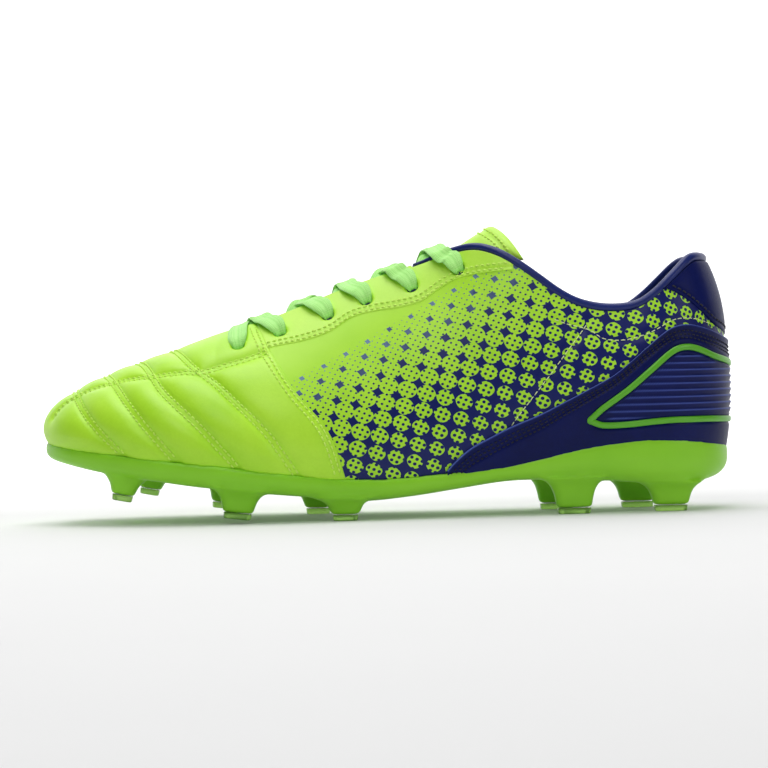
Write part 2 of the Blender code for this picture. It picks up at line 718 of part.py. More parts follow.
def tongue_curve(x):
    """How fast the tongue falls away from its ridge, so that it clears the facings' inside."""
    station = min(x, 30.0)
    wing = skin_point(station, 0.72, LATERAL, -6.0)
    tight = (spline(TONGUE_RIDGE, station) - wing.z) / wing.y**2
    share = min(1.0, max(0.0, (x - 20) / 25))
    return tight + (TONGUE_TOP_CURVE - tight) * share


def tongue_point(x, y, depth):
    """A point of the tongue, depth down from its outer face."""
    curve = tongue_curve(x)
    slope_y = -2 * curve * y
    slope_x = (spline(TONGUE_RIDGE, x + 1) - spline(TONGUE_RIDGE, x - 1)) / 2
    normal = Vector((-slope_x, -slope_y, 1)).normalized()
    return Vector((x, y, spline(TONGUE_RIDGE, x) - curve * y * y)) - normal * depth


def tongue_layer(name, front, back, halves, depths, inset, columns, finish):
    """One layer of the tongue between two X places; back(across) bends its rear edge."""
    grids = []
    for depth in depths:
        grid = []
        for share in steps(0, 1, columns):
            column = []
            for across in steps(-1, 1, 6):
                x = front + share * (back(across) - inset - front)
                column.append(tongue_point(x, across * (spline(halves, x) - inset), depth))
            grid.append(column)
        grids.append(grid)
    return add_shell(name, grids[0], grids[1], finish)


def make_tongue():
    pad_at = TONGUE_COVER + LAYER_GAP
    back_at = pad_at + TONGUE_PAD + LAYER_GAP
    layers = (
        ("cover", TONGUE_FRONT, 0.0, TONGUE_COVER, 0.0, "lime_leather"),
        ("padding", TONGUE_PAD_FRONT, pad_at, pad_at + TONGUE_PAD, 0.8, "foam"),
        ("backing", TONGUE_PAD_FRONT, back_at, back_at + TONGUE_BACK, 0.0, "navy_mesh"),
    )
    for name, front, top, bottom, inset, finish in layers:
        tongue_layer(f"tongue_{name}", front, lambda across: TONGUE_BEND - TONGUE_BEND_ROOM, TONGUE_LOWER,
                     (top, bottom), inset, 10, finish)
        tongue_layer(f"tongue_top_{name}", TONGUE_BEND + TONGUE_BEND_ROOM,
                     lambda across: TONGUE_END + TONGUE_END_CURVE * across**2, TONGUE_UPPER,
                     (top, bottom), inset, 4, finish)


def lace_pass(row, side):
    """The lace's way over the facing's edge, down through an eyelet and back up to the throat."""
    station, t = eyelet(row)
    over, under = LACE_HALF_THICK + 0.7, SKIN[1] - GAP - LACE_HALF_THICK
    rolled = station + 4 > BINDING_START
    edge_over, edge_under = (3.0, -3.35) if rolled else (over + 0.3, under - 0.4)
    if rolled:
        under -= 1.0 if row == len(EYELETS) - 1 else 0.7
    lean = 0 if row == 0 else 6.5
    wide, bunched = LACE_HALF_WIDE, LACE_HALF_BUNCHED
    return [
        (skin_point(station - lean, 0.985, side, edge_over), wide),
        (skin_point(station - 0.55 * lean, 1 - 0.55 * (1 - t), side, over + 0.4), wide * 0.9),
        (skin_point(station - 0.12 * lean, t + 0.035, side, over + 0.5), wide * 0.42),
        (skin_point(station, t + 0.004, side, 0.1), bunched),
        (skin_point(station, t + 0.004, side, SKIN[1] + 0.2), bunched),
        (skin_point(station + 0.5, t + 0.04, side, under - 0.35), bunched * 1.2),
        (skin_point(station + 2.0, 1 - 0.5 * (1 - t), side, under - 0.3), wide * 0.7),
        (skin_point(station + 3.5, 0.99, side, edge_under), wide * 0.85),
    ]


def lace_branch(first_side):
    """Half of the lace: from the middle of the front bar up to its tucked-in end."""
    points, side = [], first_side
    front = EYELETS[0][0]
    points.append((Vector((front, 0, spline(EDGE["z"], front) + 1.6)), LACE_HALF_WIDE))
    for row in range(len(EYELETS)):
        points += lace_pass(row, side)
        if row + 1 < len(EYELETS):
            station = (EYELETS[row][0] + EYELETS[row + 1][0]) / 2 - 1.0
            above = side == (LATERAL if row % 2 else MEDIAL)
            lift = (2.6 if above else 0.9) + (1.4 if row == len(EYELETS) - 2 else 0)
            ridge = spline(EDGE["z"], station) + 0.2
            points.append((Vector((station, 0, ridge + lift)), LACE_HALF_WIDE))
            side = -side
    return points[:-1]


def smooth_line(points, per_span):
    """Catmull-Rom through (point, half width) pairs."""
    out = []
    count = len(points)
    for n in range(count - 1):
        (p0, w0), (p1, w1) = points[max(n - 1, 0)], points[n]
        (p2, w2), (p3, w3) = points[n + 1], points[min(n + 2, count - 1)]
        for step in range(per_span):
            s = step / per_span
            point = 0.5 * ((2 * p1) + (p2 - p0) * s + (2 * p0 - 5 * p1 + 4 * p2 - p3) * s * s
                           + (3 * p1 - p0 - 3 * p2 + p3) * s**3)
            out.append((point, w1 + (w2 - w1) * s))
    out.append(points[-1])
    return out


def make_lace():
    one, other = lace_branch(MEDIAL), lace_branch(LATERAL)
    line = smooth_line(list(reversed(one)) + other[1:], 2)
    rings = []
    for n, (point, half) in enumerate(line):
        along = (line[min(n + 1, len(line) - 1)][0] - line[max(n - 1, 0)][0]).normalized()
        wide = LACE_SLOPE - along * along.dot(LACE_SLOPE)
        wide.normalize()
        thin = along.cross(wide) * LACE_HALF_THICK
        rings.append([point + wide * half + thin, point - wide * half + thin,
                      point - wide * half - thin, point + wide * half - thin])
    add_solid("shoelace", rings, "lace_fabric")


def main():
    clear_scene()
    make_outsole()
    make_footbed()
    make_vamp()
    make_quarters()
    make_facings()
    make_heel()
    make_linings()
    make_binding()
    make_tongue()
    make_lace()


main()
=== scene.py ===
"""The looks of a left soccer cleat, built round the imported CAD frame.

Sizes are in millimetres and become metres in new_piece(). The upper's pieces are patches of one skin
stretched over four rails from the toe tip along each side to the back of the heel, as in the CAD source.
"""

import math

import bmesh
import bpy
import numpy as np
from mathutils import Matrix, Vector
from mathutils.bvhtree import BVHTree


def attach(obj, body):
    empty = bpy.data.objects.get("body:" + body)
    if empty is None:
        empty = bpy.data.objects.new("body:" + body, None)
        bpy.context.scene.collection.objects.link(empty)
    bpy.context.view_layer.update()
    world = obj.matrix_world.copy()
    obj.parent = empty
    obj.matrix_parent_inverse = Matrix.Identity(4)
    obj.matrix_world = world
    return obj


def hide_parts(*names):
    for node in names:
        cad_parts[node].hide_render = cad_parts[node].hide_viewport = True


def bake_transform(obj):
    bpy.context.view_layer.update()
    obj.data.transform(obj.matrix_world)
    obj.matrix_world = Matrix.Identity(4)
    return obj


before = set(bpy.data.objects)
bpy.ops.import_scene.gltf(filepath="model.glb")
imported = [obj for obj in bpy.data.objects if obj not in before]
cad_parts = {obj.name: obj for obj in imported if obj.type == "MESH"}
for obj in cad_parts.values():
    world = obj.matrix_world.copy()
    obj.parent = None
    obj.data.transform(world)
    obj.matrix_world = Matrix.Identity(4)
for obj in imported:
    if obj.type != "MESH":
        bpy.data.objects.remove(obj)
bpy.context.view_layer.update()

MM = 0.001
BOX_MIDDLE = np.array((0.287, 0.398, 0.0))
LATERAL, MEDIAL = -1, 1

# ---------------------------------------------------------------- the shoe's skin

TOE_AXIS, TOE_TIP = -70.0, -130.0
HEEL_AXIS, HEEL_BACK = 105.0, 155.0
TOE_LEAN, LEAN_START, LEAN_LENGTH = 7.0, -40.0, 105.0
ARCH_DEPTH, ARCH_AT, ARCH_LENGTH = 0.07, 8.0, 38.0

FEATHER = {
    "z": ((-130, 34), (-115, 32.7), (-100, 30.3), (-85, 26.9), (-70, 23.6), (-40, 19.1), (-18, 16.7),
          (0, 16.2), (20, 17.5), (45, 20), (65, 23.9), (85, 27.9), (105, 29.8), (118, 29.3),
          (135, 27.5), (155, 25.8)),
    "y": ((-100, 43.5), (-70, 44.5), (-40, 43.5), (-10, 38.5), (20, 33.5), (50, 31.5), (80, 32),
          (105, 32.5), (130, 32)),
    "toe": 72.8, "heel": 35.2,
}
BULGE = {
    "z": ((-130, 54), (-100, 50.5), (-70, 46.5), (-40, 44), (-10, 45), (20, 46), (50, 46), (80, 48),
          (105, 50), (155, 48)),
    "y": ((-100, 54), (-70, 55.5), (-40, 54), (-10, 48), (20, 42.5), (50, 39.5), (80, 39.5),
          (105, 39.5), (130, 39.5)),
    "toe": 84.0, "heel": 39.5,
}
SHOULDER = {
    "z": ((-130, 65.3), (-100, 67.6), (-85, 70.8), (-70, 74), (-60, 73.8), (-40, 75.8), (-25, 79),
          (-10, 82.5), (5, 86), (20, 89.5), (35, 88.5), (50, 82), (65, 74), (80, 68.5), (105, 68),
          (130, 75), (155, 80)),
    "y": ((-100, 26.5), (-70, 26), (-40, 26.5), (-10, 26), (20, 27), (50, 33), (80, 36), (105, 36.5),
          (130, 36)),
    "toe": 40.0, "heel": 38.5,
}
EDGE = {
    "z": ((-70, 77.3), (-57, 80.7), (-40, 86.5), (-26, 92), (-9, 98), (5, 102.3), (15, 105.6),
          (26, 109.2), (37, 111), (46, 108.5), (55, 103), (63, 97), (71, 90.9), (79, 86.6), (89, 84.3),
          (99, 84.4), (105, 86.2), (112, 90.5), (120, 96.6), (128, 102.2), (134, 104.3), (155, 104.3)),
    "y": ((-70, 0), (-66, 3.2), (-60, 5), (-40, 6.8), (-10, 8), (11, 9), (26, 12.5), (37, 18.5),
          (46, 23.5), (55, 27), (71, 30.3), (89, 31.2), (105, 31), (121, 31.2)),
    "toe": 0.0, "heel": 29.0,
}
RAILS = (FEATHER, BULGE, SHOULDER, EDGE)

VAMP_SEAM = ((16, -18), (36.8, -25.2), (53, -38), (66.7, -46.6), (77, -51.7), (90, -57))
FACING_SEAM = ((-70, 66), (-46, 72.3), (-34, 74.5), (-23, 78), (-14, 83.6), (-5, 86), (5, 87.3),
               (15, 89.8), (23, 95), (30, 98.7), (39, 100.5), (51, 101.5))
TAB_SEAM = ((113, 92.1), (118.6, 90), (125, 85.9), (131, 80.8), (138, 76), (155, 72))
COVER_EDGE = ((22, 17.8), (26.4, 22.8), (33.6, 28.6), (41, 32.4), (50, 36.7), (61, 41), (72, 46.2),
              (82.5, 51.4), (92, 56.4), (99, 61.6), (105, 66.6), (111.3, 72.3), (116, 75.3),
              (122, 76.3), (130.4, 74.6), (141, 71.6), (155, 69.3))
INLAY_TOP = ((82, 39.2), (87, 43), (97.5, 50.2), (105, 56.3), (113.5, 64.5), (118, 66.9),
             (124, 66.6), (134, 63), (155, 60))
INLAY_BOTTOM = ((82, 37.6), (87, 36.4), (97, 36.5), (115, 37.9), (155, 37.2))
UNDERSIDE = ((-130, 26.4), (-115, 24.8), (-100, 21.5), (-85, 17.8), (-70, 14.2), (-50, 11.7),
             (-36, 10.3), (-12, 7.7), (9, 9), (29, 11.6), (48, 14), (65, 14.2), (88, 13.2),
             (105, 11.8), (125, 10.8), (140, 12), (155, 13.2))

SKIN_THICK = 1.5
LINING_AT, LINING_THICK = -3.6, 0.7
COLLAR_PAD, LINING_FOOT = 5.1, 4.6
BINDING_START, BINDING_RADIUS = 12.0, 1.5

STATION_STEP = 0.5
STATIONS = np.arange(TOE_TIP, HEEL_BACK + STATION_STEP / 2, STATION_STEP)
LEVELS = np.linspace(0, 1, 161)


def spline(keys, at):
    """A smooth curve through (place, value) keys, level past both ends."""
    x, y = np.array(keys, float).T
    at = np.clip(np.asarray(at, float), x[0], x[-1])
    low, high = np.r_[0, np.arange(len(x) - 1)], np.r_[np.arange(1, len(x)), len(x) - 1]
    slope = (y[high] - y[low]) / (x[high] - x[low])
    i = np.clip(np.searchsorted(x, at, side="right") - 1, 0, len(x) - 2)
    span = x[i + 1] - x[i]
    s = (at - x[i]) / span
    return (y[i] * (2 * s**3 - 3 * s**2 + 1) + slope[i] * span * (s**3 - 2 * s**2 + s)
            + y[i + 1] * (3 * s**2 - 2 * s**3) + slope[i + 1] * span * (s**3 - s**2))


def fan_angle(station):
    """How far round the toe (negative) or heel (positive) a station is, in radians."""
    toe = np.maximum(TOE_AXIS - station, 0) / (TOE_AXIS - TOE_TIP)
    heel = np.maximum(station - HEEL_AXIS, 0) / (HEEL_BACK - HEEL_AXIS)
    return (heel - toe) * math.pi / 2


def plan_shift(x, y, side):
    """Y after the arch is drawn in and the toe leans inwards."""
    arch = 1 - ARCH_DEPTH * np.exp(-(((x - ARCH_AT) / ARCH_LENGTH) ** 2)) * (np.asarray(side) > 0)
    lean = np.maximum(0.0, (LEAN_START - x) / LEAN_LENGTH)
    return side * y * arch + TOE_LEAN * lean**2


def rail_points(rail, station, side, grow=0.0, z=None):
    angle = fan_angle(station)
    inner = np.clip(station, TOE_AXIS, HEEL_AXIS)
    half = spline(rail["y"], inner) + grow
    reach = np.where(angle < 0, rail["toe"], rail["heel"]) + grow
    x = inner + reach * np.sin(angle)
    height = spline(rail["z"], station) if z is None else z
    return np.stack([x, plan_shift(x, half * np.cos(angle), side), height + 0 * x], -1)


def unit(vectors):
    return vectors / np.maximum(np.linalg.norm(vectors, axis=-1, keepdims=True), 1e-9)


def skin_table(side):
    """Places and outward normals of the skin for every STATIONS by LEVELS."""
    rails = [rail_points(rail, STATIONS, side)[:, None] for rail in RAILS]
    t = LEVELS[None, :, None]
    u = 1 - t
    face = rails[0] * u**3 + rails[1] * 3 * u * u * t + rails[2] * 3 * u * t * t + rails[3] * t**3
    normal = np.cross(np.gradient(face, axis=0), np.gradient(face, axis=1)) * -side
    for end in (0, -1):
        normal[end, :, 1] = 0
    toe = STATIONS < TOE_AXIS + 0.01
    normal[toe, -3:] = normal[0, -9]
    return face, unit(normal)


TABLES = {side: skin_table(side) for side in (LATERAL, MEDIAL)}


def look_up(table, station, t):
    """Values between the entries of a STATIONS by LEVELS table of points."""
    i = np.clip((station - TOE_TIP) / STATION_STEP, 0, len(STATIONS) - 1.001)
    j = np.clip(t * (len(LEVELS) - 1), 0, len(LEVELS) - 1.001)
    i0, j0 = i.astype(int), j.astype(int)
    fi, fj = (i - i0)[..., None], (j - j0)[..., None]
    return ((table[i0, j0] * (1 - fi) + table[i0 + 1, j0] * fi) * (1 - fj)
            + (table[i0, j0 + 1] * (1 - fi) + table[i0 + 1, j0 + 1] * fi) * fj)


def skin(station, t, side, depth=0.0):
    """Points on the skin, depth above (+) or below (-) its face. Everything broadcasts."""
    station, t, side, depth = np.broadcast_arrays(station, t, side, depth)
    place, normal = (np.where((side > 0)[..., None], look_up(TABLES[MEDIAL][k], station, t),
                              look_up(TABLES[LATERAL][k], station, t)) for k in (0, 1))
    return place + unit(normal) * depth[..., None]


def skin_normal(station, t, side):
    return skin(station, t, side, 1.0) - skin(station, t, side, 0.0)


def seam_levels(keys):
    """t by STATIONS where the ribs reach a seam's height."""
    heights = spline(keys, STATIONS)
    ribs = TABLES[LATERAL][0][:, :, 2]
    return np.array([np.interp(h, rib, LEVELS) for h, rib in zip(heights, ribs)])


FACING_T, TAB_T, COVER_T = seam_levels(FACING_SEAM), seam_levels(TAB_SEAM), seam_levels(COVER_EDGE)
RIB_LENGTHS = np.linalg.norm(np.diff(TABLES[LATERAL][0], axis=1), axis=-1)
TOP_SCALE = RIB_LENGTHS[:, -16:].sum(1) * 10  # millimetres for each 1.0 of t, near the top edge
COLLAR_T = np.where(STATIONS < BINDING_START, 1.0, 1 - (BINDING_RADIUS + 0.2) / TOP_SCALE)


def level(table, station):
    return np.interp(station, STATIONS, table)


def level_at(station, height):
    """t where one rib reaches a height."""
    i = min(int((station - TOE_TIP) / STATION_STEP), len(STATIONS) - 1)
    return float(np.interp(height, TABLES[LATERAL][0][i, :, 2], LEVELS))


def vamp_back(t):
    """The station of the vamp's back seam at t."""
    station = np.full(np.shape(t), -30.0)
    for _ in range(12):
        station = spline(VAMP_SEAM, skin(station, t, LATERAL)[..., 2])
    return station


def path_on_skin(points, count=160):
    """A smooth line on the skin through side-view (x, z) points, as (station, t) arrays."""
    points = np.array(points, float)
    run = np.r_[0, np.cumsum(np.hypot(*np.diff(points, axis=0).T))]
    at = np.linspace(0, run[-1], count)
    seen = np.stack([spline(np.column_stack([run, column]), at) for column in points.T])
    face = TABLES[LATERAL][0]
    line = []
    for x, z in seen.T:
        far = (face[:, :, 0] - x) ** 2 + (face[:, :, 2] - z) ** 2
        i, j = np.unravel_index(np.argmin(far), far.shape)
        line.append((STATIONS[i], LEVELS[j]))
    line = np.array(line)
    for _ in range(12):
        line[1:-1] = (line[:-2] + 2 * line[1:-1] + line[2:]) / 4
    return line.T


# ---------------------------------------------------------------- meshes

def close_mesh(mesh):
    """Merges doubled points, closes open ends and turns the faces outwards."""
    bm = bmesh.new()
    bm.from_mesh(mesh)
    bmesh.ops.remove_doubles(bm, verts=bm.verts, dist=1e-6)
    bmesh.ops.holes_fill(bm, edges=[edge for edge in bm.edges if edge.is_boundary], sides=0)
    bmesh.ops.recalc_face_normals(bm, faces=bm.faces)
    bm.to_mesh(mesh)
    bm.free()


def link_object(name, data):
    obj = bpy.data.objects.new(name, data)
    bpy.context.scene.collection.objects.link(obj)
    return obj


def new_piece(name, points, faces, finishes, uv=None, slots=None, painted_highlight=None, sharp=True):
    """An object from points in millimetres; uv and the painted highlight are per point, slots is a finish
    per face.
    """
    mesh = bpy.data.meshes.new(name)
    mesh.from_pydata(((np.asarray(points) - BOX_MIDDLE) * MM).tolist(), [],
                     [tuple(map(int, face)) for face in faces])
    if uv is not None:
        layer = mesh.uv_layers.new(name="cloth")
        corners = np.array([loop.vertex_index for loop in mesh.loops])
        layer.data.foreach_set("uv", np.asarray(uv, np.float32)[corners].ravel())
    for finish in finishes:
        mesh.materials.append(finish)
    if slots is not None:
        mesh.polygons.foreach_set("material_index", slots)
    if painted_highlight is not None:
        mesh.attributes.new("painted_highlight", "FLOAT", "POINT").data.foreach_set("value", painted_highlight)
    close_mesh(mesh)
    mesh.shade_smooth()
    if sharp:
        mesh.set_sharp_from_angle(angle=math.radians(60))
    return link_object(name, mesh)


def dress(obj, slot, *nodes, body="shoe"):
    """The piece rides on a body and stands for CAD nodes, which it hides; slot is not used."""
    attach(obj, body)
    if nodes:
        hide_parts(*nodes)
    return obj


def grid_faces(rows, columns, start=0, wrap=False):
    """Quads of a rows by columns grid of points; wrap joins the last column to the first."""
    i, j = np.meshgrid(np.arange(rows - 1), np.arange(columns if wrap else columns - 1), indexing="ij")
    i, j = i.ravel(), j.ravel()
    k = (j + 1) % columns
    return start + np.stack([i * columns + j, i * columns + k, (i + 1) * columns + k,
                             (i + 1) * columns + j], -1)


def shell_faces(rows, columns):
    """Faces of a shell whose outer grid is followed by its inner grid."""
    size = rows * columns
    outer, inner = grid_faces(rows, columns), grid_faces(rows, columns, size)
    ring = np.r_[np.arange(columns), np.arange(2, rows + 1) * columns - 1,
                 np.arange(size - 2, size - columns - 1, -1), np.arange(rows - 2, 0, -1) * columns]
    after = np.roll(ring, -1)
    return np.concatenate([outer, inner[:, ::-1],
                           np.stack([ring, after, after + size, ring + size], -1)])


BORDER = ((0.0, -0.6), (0.25, -0.2), (0.6, -0.03))  # how far a cut edge rounds off, by distance from it


def soft_shares(count, length):
    """Shares from 0 to 1 with extra ones near both ends, and how far the face dips there."""
    near = np.array([at / length for at, _ in BORDER])
    dips = np.array([dip for _, dip in BORDER])
    middle = np.linspace(0, 1, count + 1)[1:-1]
    middle = middle[(middle > near[-1] * 1.3) & (middle < 1 - near[-1] * 1.3)]
    return np.r_[near, middle, 1 - near[::-1]], np.r_[dips, 0 * middle, dips[::-1]]


def skin_patch(name, station, t, side, outer, inner, finish, painted_highlight=None):
    """A shell of skin over grids of station, t and side, between two depths, lined on its inside."""
    top = skin(station, t, side, outer)
    under = skin(station, t, side, inner)
    points = np.concatenate([top.reshape(-1, 3), under.reshape(-1, 3)])
    faces = shell_faces(*station.shape)
    size = (station.shape[0] - 1) * (station.shape[1] - 1)
    slots = np.zeros(len(faces), int)
    slots[size:2 * size] = 1
    uv = np.concatenate([print_uv(station, t).reshape(-1, 2)] * 2)
    if painted_highlight is not None:
        painted_highlight = np.concatenate([painted_highlight.ravel(), 0 * painted_highlight.ravel()])
    return new_piece(name, points, faces, [finish, LINING], uv, slots, painted_highlight)


PRINT_LEVEL, PRINT_HEEL_RADIUS = 56, 38


def print_uv(station, t):
    """Millimetres along the shoe and up the leather, true to Z where a rib crosses PRINT_LEVEL."""
    up = np.concatenate([np.zeros((len(STATIONS), 1)), np.cumsum(RIB_LENGTHS, axis=1)], 1)
    up = up - up[:, [PRINT_LEVEL]] + TABLES[LATERAL][0][:, [PRINT_LEVEL], 2]
    v = look_up(up[..., None], station, t)[..., 0]
    u = np.minimum(station, HEEL_AXIS) + fan_angle(np.maximum(station, HEEL_AXIS)) * PRINT_HEEL_RADIUS
    return np.stack([u, v], -1)


def columns_round(stations, end):
    """(station, side) along the lateral side, round one end and back along the medial side."""
    q = np.r_[stations, end, stations[::-1]]
    return q, np.r_[np.full(len(stations) + 1, LATERAL), np.full(len(stations), MEDIAL)]


def evenly(*places_and_counts):
    """Stations from place to place, with a count for each span; the last place is left out."""
    places, counts = places_and_counts[::2], places_and_counts[1::2]
    spans = [np.linspace(a, b, n) for a, b, n in zip(places, places[1:], counts)]
    return np.concatenate([spans[0]] + [span[1:] for span in spans[1:]])[:-1]


def band(q, rows, low, high):
    """station and t grids between two levels of each column."""
    return q[:, None] + 0 * rows[None], low[:, None] + (high - low)[:, None] * rows[None]


# ---------------------------------------------------------------- materials

class Nodes:
    """Short calls for building a material's nodes."""

    def __init__(self, name):
        self.material = bpy.data.materials.new(name)
        self.material.use_nodes = True
        self.tree = self.material.node_tree
        self.shader = self.tree.nodes["Principled BSDF"]

    def add(self, kind, **settings):
        node = self.tree.nodes.new("ShaderNode" + kind)
        for key, value in settings.items():
            setattr(node, key, value)
        return node

    def join(self, value, socket):
        if isinstance(value, bpy.types.NodeSocket):
            self.tree.links.new(value, socket)
        else:
            socket.default_value = value

    def math(self, operation, *values, clamp=False):
        node = self.add("Math", operation=operation, use_clamp=clamp)
        for value, socket in zip(values, node.inputs):
            self.join(value, socket)
        return node.outputs[0]

    def mix(self, factor, first, second):
        node = self.add("Mix", data_type="RGBA")
        self.join(factor, node.inputs[0])
        self.join(first, node.inputs[6])
        self.join(second, node.inputs[7])
        return node.outputs[2]

    def noise(self, vector, scale, detail=3.0, roughness=0.55):
        node = self.add("TexNoise")
        self.tree.links.new(vector, node.inputs["Vector"])
        node.inputs["Scale"].default_value = scale
        node.inputs["Detail"].default_value = detail
        node.inputs["Roughness"].default_value = roughness
        return node.outputs[0]

    def cells(self, vector, scale):
        node = self.add("TexVoronoi", feature="SMOOTH_F1")
        self.tree.links.new(vector, node.inputs["Vector"])
        node.inputs["Scale"].default_value = scale
        return node.outputs["Distance"]

    def ramp(self, factor, stops):
        node = self.add("ValToRGB")
        self.join(factor, node.inputs[0])
        elements = node.color_ramp.elements
        while len(elements) < len(stops):
            elements.new(0.5)
        for element, (place, grey) in zip(elements, stops):
            element.position = place
            element.color = (grey, grey, grey, 1)
        return node.outputs[0]

    def object_place(self):
        return self.add("TexCoord").outputs["Object"]

    def cloth_place(self):
        return self.add("UVMap", uv_map="cloth").outputs[0]

    def bump(self, height, strength, distance, after=None):
        node = self.add("Bump")
        self.join(height, node.inputs["Height"])
        node.inputs["Strength"].default_value = strength
        node.inputs["Distance"].default_value = distance
        if after is not None:
            self.tree.links.new(after, node.inputs["Normal"])
        return node.outputs[0]

    def finish(self, colour, roughness, normal=None, **fixed):
        self.join(colour, self.shader.inputs["Base Color"])
        self.join(roughness, self.shader.inputs["Roughness"])
        if normal is not None:
            self.tree.links.new(normal, self.shader.inputs["Normal"])
        for key, value in fixed.items():
            self.shader.inputs[key.replace("_", " ")].default_value = value
        return self.material


def rgb(red, green, blue):
    """A colour given as it looks on a screen, 0 to 255, as linear light."""
    linear = [(c / 255 / 12.92) if c <= 10 else ((c / 255 + 0.055) / 1.055) ** 2.4
              for c in (red, green, blue)]
    return (*linear, 1.0)


NAVY = rgb(10, 24, 96)


def grain_bump(n, place, fine=2600.0, strength=0.25):
    """Leather grain: small rounded cells over faint creases."""
    cells = n.cells(place, fine)
    creases = n.noise(place, 420.0, 4.0)
    first = n.bump(cells, strength, 0.00012)
    return n.bump(creases, 0.12, 0.0003, first)


def leather(name, light, deep, roughness=0.42, fine=2600.0, level=0.4, painted_highlight=None):
    """Smooth coated leather, a little deeper in places and finely grained, with a painted highlight on
    moulded crests when a highlight colour is given.
    """
    n = Nodes(name)
    place = n.object_place()
    cloud = n.noise(place, 38.0, 4.0)
    specks = n.noise(place, 900.0, 2.0)
    tone = n.math("MULTIPLY_ADD", specks, 0.25, n.math("MULTIPLY", cloud, 0.8))
    colour = n.mix(n.math("MULTIPLY_ADD", tone, 1.8, -0.45, clamp=True), deep, light)
    if painted_highlight is not None:
        colour = n.mix(n.add("Attribute", attribute_name="painted_highlight").outputs["Fac"], colour, painted_highlight)
    rough = n.math("MULTIPLY_ADD", specks, 0.22, roughness - 0.11)
    return n.finish(colour, rough, grain_bump(n, place, fine), Specular_IOR_Level=level)


# The print: a slanted lattice of four-pointed stars that grow row by row until they join, and a finer,
# steeper lattice of dots over it. Each lattice is given by its two steps in millimetres.
PRINT_START = (-34.5, 59.8)
STAR_ACROSS, STAR_DOWN, STAR_STEP = (7.65, -1.9), (-1.35, -6.9), 7.45
DOT_ACROSS, DOT_DOWN, DOT_STEP = (2.08, -0.965), (-1.02, -1.9), 2.2
ROWS_IN_RAMP = 24.0
LEAF_POWER = 1.75
LEAF_RADIUS = ((-1.0, 5.5), (0.0, 4.6), (1.0, 4.36), (2.0, 4.18), (3.0, 4.05), (4.0, 3.95), (6.0, 3.7),
               (8.0, 3.32), (10.0, 3.1), (12.0, 2.95), (16.0, 2.85), (22.0, 2.8))
DOT_RADIUS = ((-0.6, 0.0), (0.0, 0.25), (2.0, 0.38), (4.0, 0.46), (7.0, 0.6), (10.0, 0.72), (14.0, 0.78),
              (22.0, 0.84))


def printed_leather():
    n = Nodes("printed_leather")
    uv = n.add("SeparateXYZ")
    n.tree.links.new(n.cloth_place(), uv.inputs[0])
    dx = n.math("SUBTRACT", uv.outputs[0], PRINT_START[0])
    dz = n.math("SUBTRACT", uv.outputs[1], PRINT_START[1])

    def lattice(first, second):
        """How many steps across and down a lattice each place is."""
        (ax, az), (bx, bz) = first, second
        cross = ax * bz - az * bx
        return (n.math("MULTIPLY_ADD", dx, bz / cross, n.math("MULTIPLY", dz, -bx / cross)),
                n.math("MULTIPLY_ADD", dx, -az / cross, n.math("MULTIPLY", dz, ax / cross)))

    def nearest(steps):
        """Distance from the nearest lattice line, and that line's number."""
        line = n.math("ROUND", steps)
        return n.math("SUBTRACT", steps, line), line

    def length(first, second, power=2.0):
        both = n.math("ADD", n.math("POWER", n.math("ABSOLUTE", first), power),
                      n.math("POWER", n.math("ABSOLUTE", second), power))
        return n.math("POWER", both, 1 / power)

    def by_row(row, keys, top):
        low = keys[0][0]
        factor = n.math("DIVIDE", n.math("SUBTRACT", row, low), ROWS_IN_RAMP)
        stops = [((k - low) / ROWS_IN_RAMP, value / top) for k, value in keys]
        return n.math("MULTIPLY", n.ramp(factor, stops), top)

    def inside(edge, distance, softness=0.12):
        gap = n.math("SUBTRACT", edge, distance)
        return n.math("MULTIPLY_ADD", gap, 1 / softness, 0.5, clamp=True)

    across, down = lattice(STAR_ACROSS, STAR_DOWN)
    off_across, line_across = nearest(across)
    off_down, line_down = nearest(down)
    row = n.math("ADD", line_across, line_down)
    corner_across = n.math("SUBTRACT", 0.5, n.math("ABSOLUTE", off_across))
    corner_down = n.math("SUBTRACT", 0.5, n.math("ABSOLUTE", off_down))
    from_corner = n.math("MULTIPLY", length(corner_across, corner_down, LEAF_POWER), STAR_STEP)
    star = inside(from_corner, by_row(row, LEAF_RADIUS, 6.0))
    dot_across, dot_down = (nearest(steps)[0] for steps in lattice(DOT_ACROSS, DOT_DOWN))
    from_dot = n.math("MULTIPLY", length(dot_across, dot_down), DOT_STEP)
    smooth_row = n.math("ADD", across, down)
    dot = inside(by_row(smooth_row, DOT_RADIUS, 1.0), from_dot)
    dot = n.math("MULTIPLY", dot, n.math("GREATER_THAN", smooth_row, -0.45))
    star = n.math("MULTIPLY", star, n.math("GREATER_THAN", row, -0.5))
    ink = n.math("MAXIMUM", star, dot)

    place = n.object_place()
    cloud = n.noise(place, 38.0, 4.0)
    green = n.mix(cloud, rgb(158, 220, 34), rgb(186, 238, 62))
    flecks = n.noise(place, 160.0, 2.0)
    # Painted sheen: the stars of the first rows, along the top of the quarter where the light's sheen
    # falls, are painted a paler grey-blue, in flecks.
    first_rows_painted_sheen = n.math("MULTIPLY", n.ramp(n.math("DIVIDE", row, ROWS_IN_RAMP), ((0.0, 1.0), (0.13, 0.0))),
                   n.ramp(flecks, ((0.35, 0.3), (0.6, 1.0))))
    navy = n.mix(first_rows_painted_sheen, NAVY, rgb(104, 132, 164))
    colour = n.mix(ink, green, navy)
    specks = n.noise(place, 900.0, 2.0)
    rough = n.math("MULTIPLY_ADD", specks, 0.2, 0.3)
    bump = n.bump(ink, 0.3, 0.00008, grain_bump(n, place, strength=0.15))
    return n.finish(colour, rough, bump, Specular_IOR_Level=0.28)


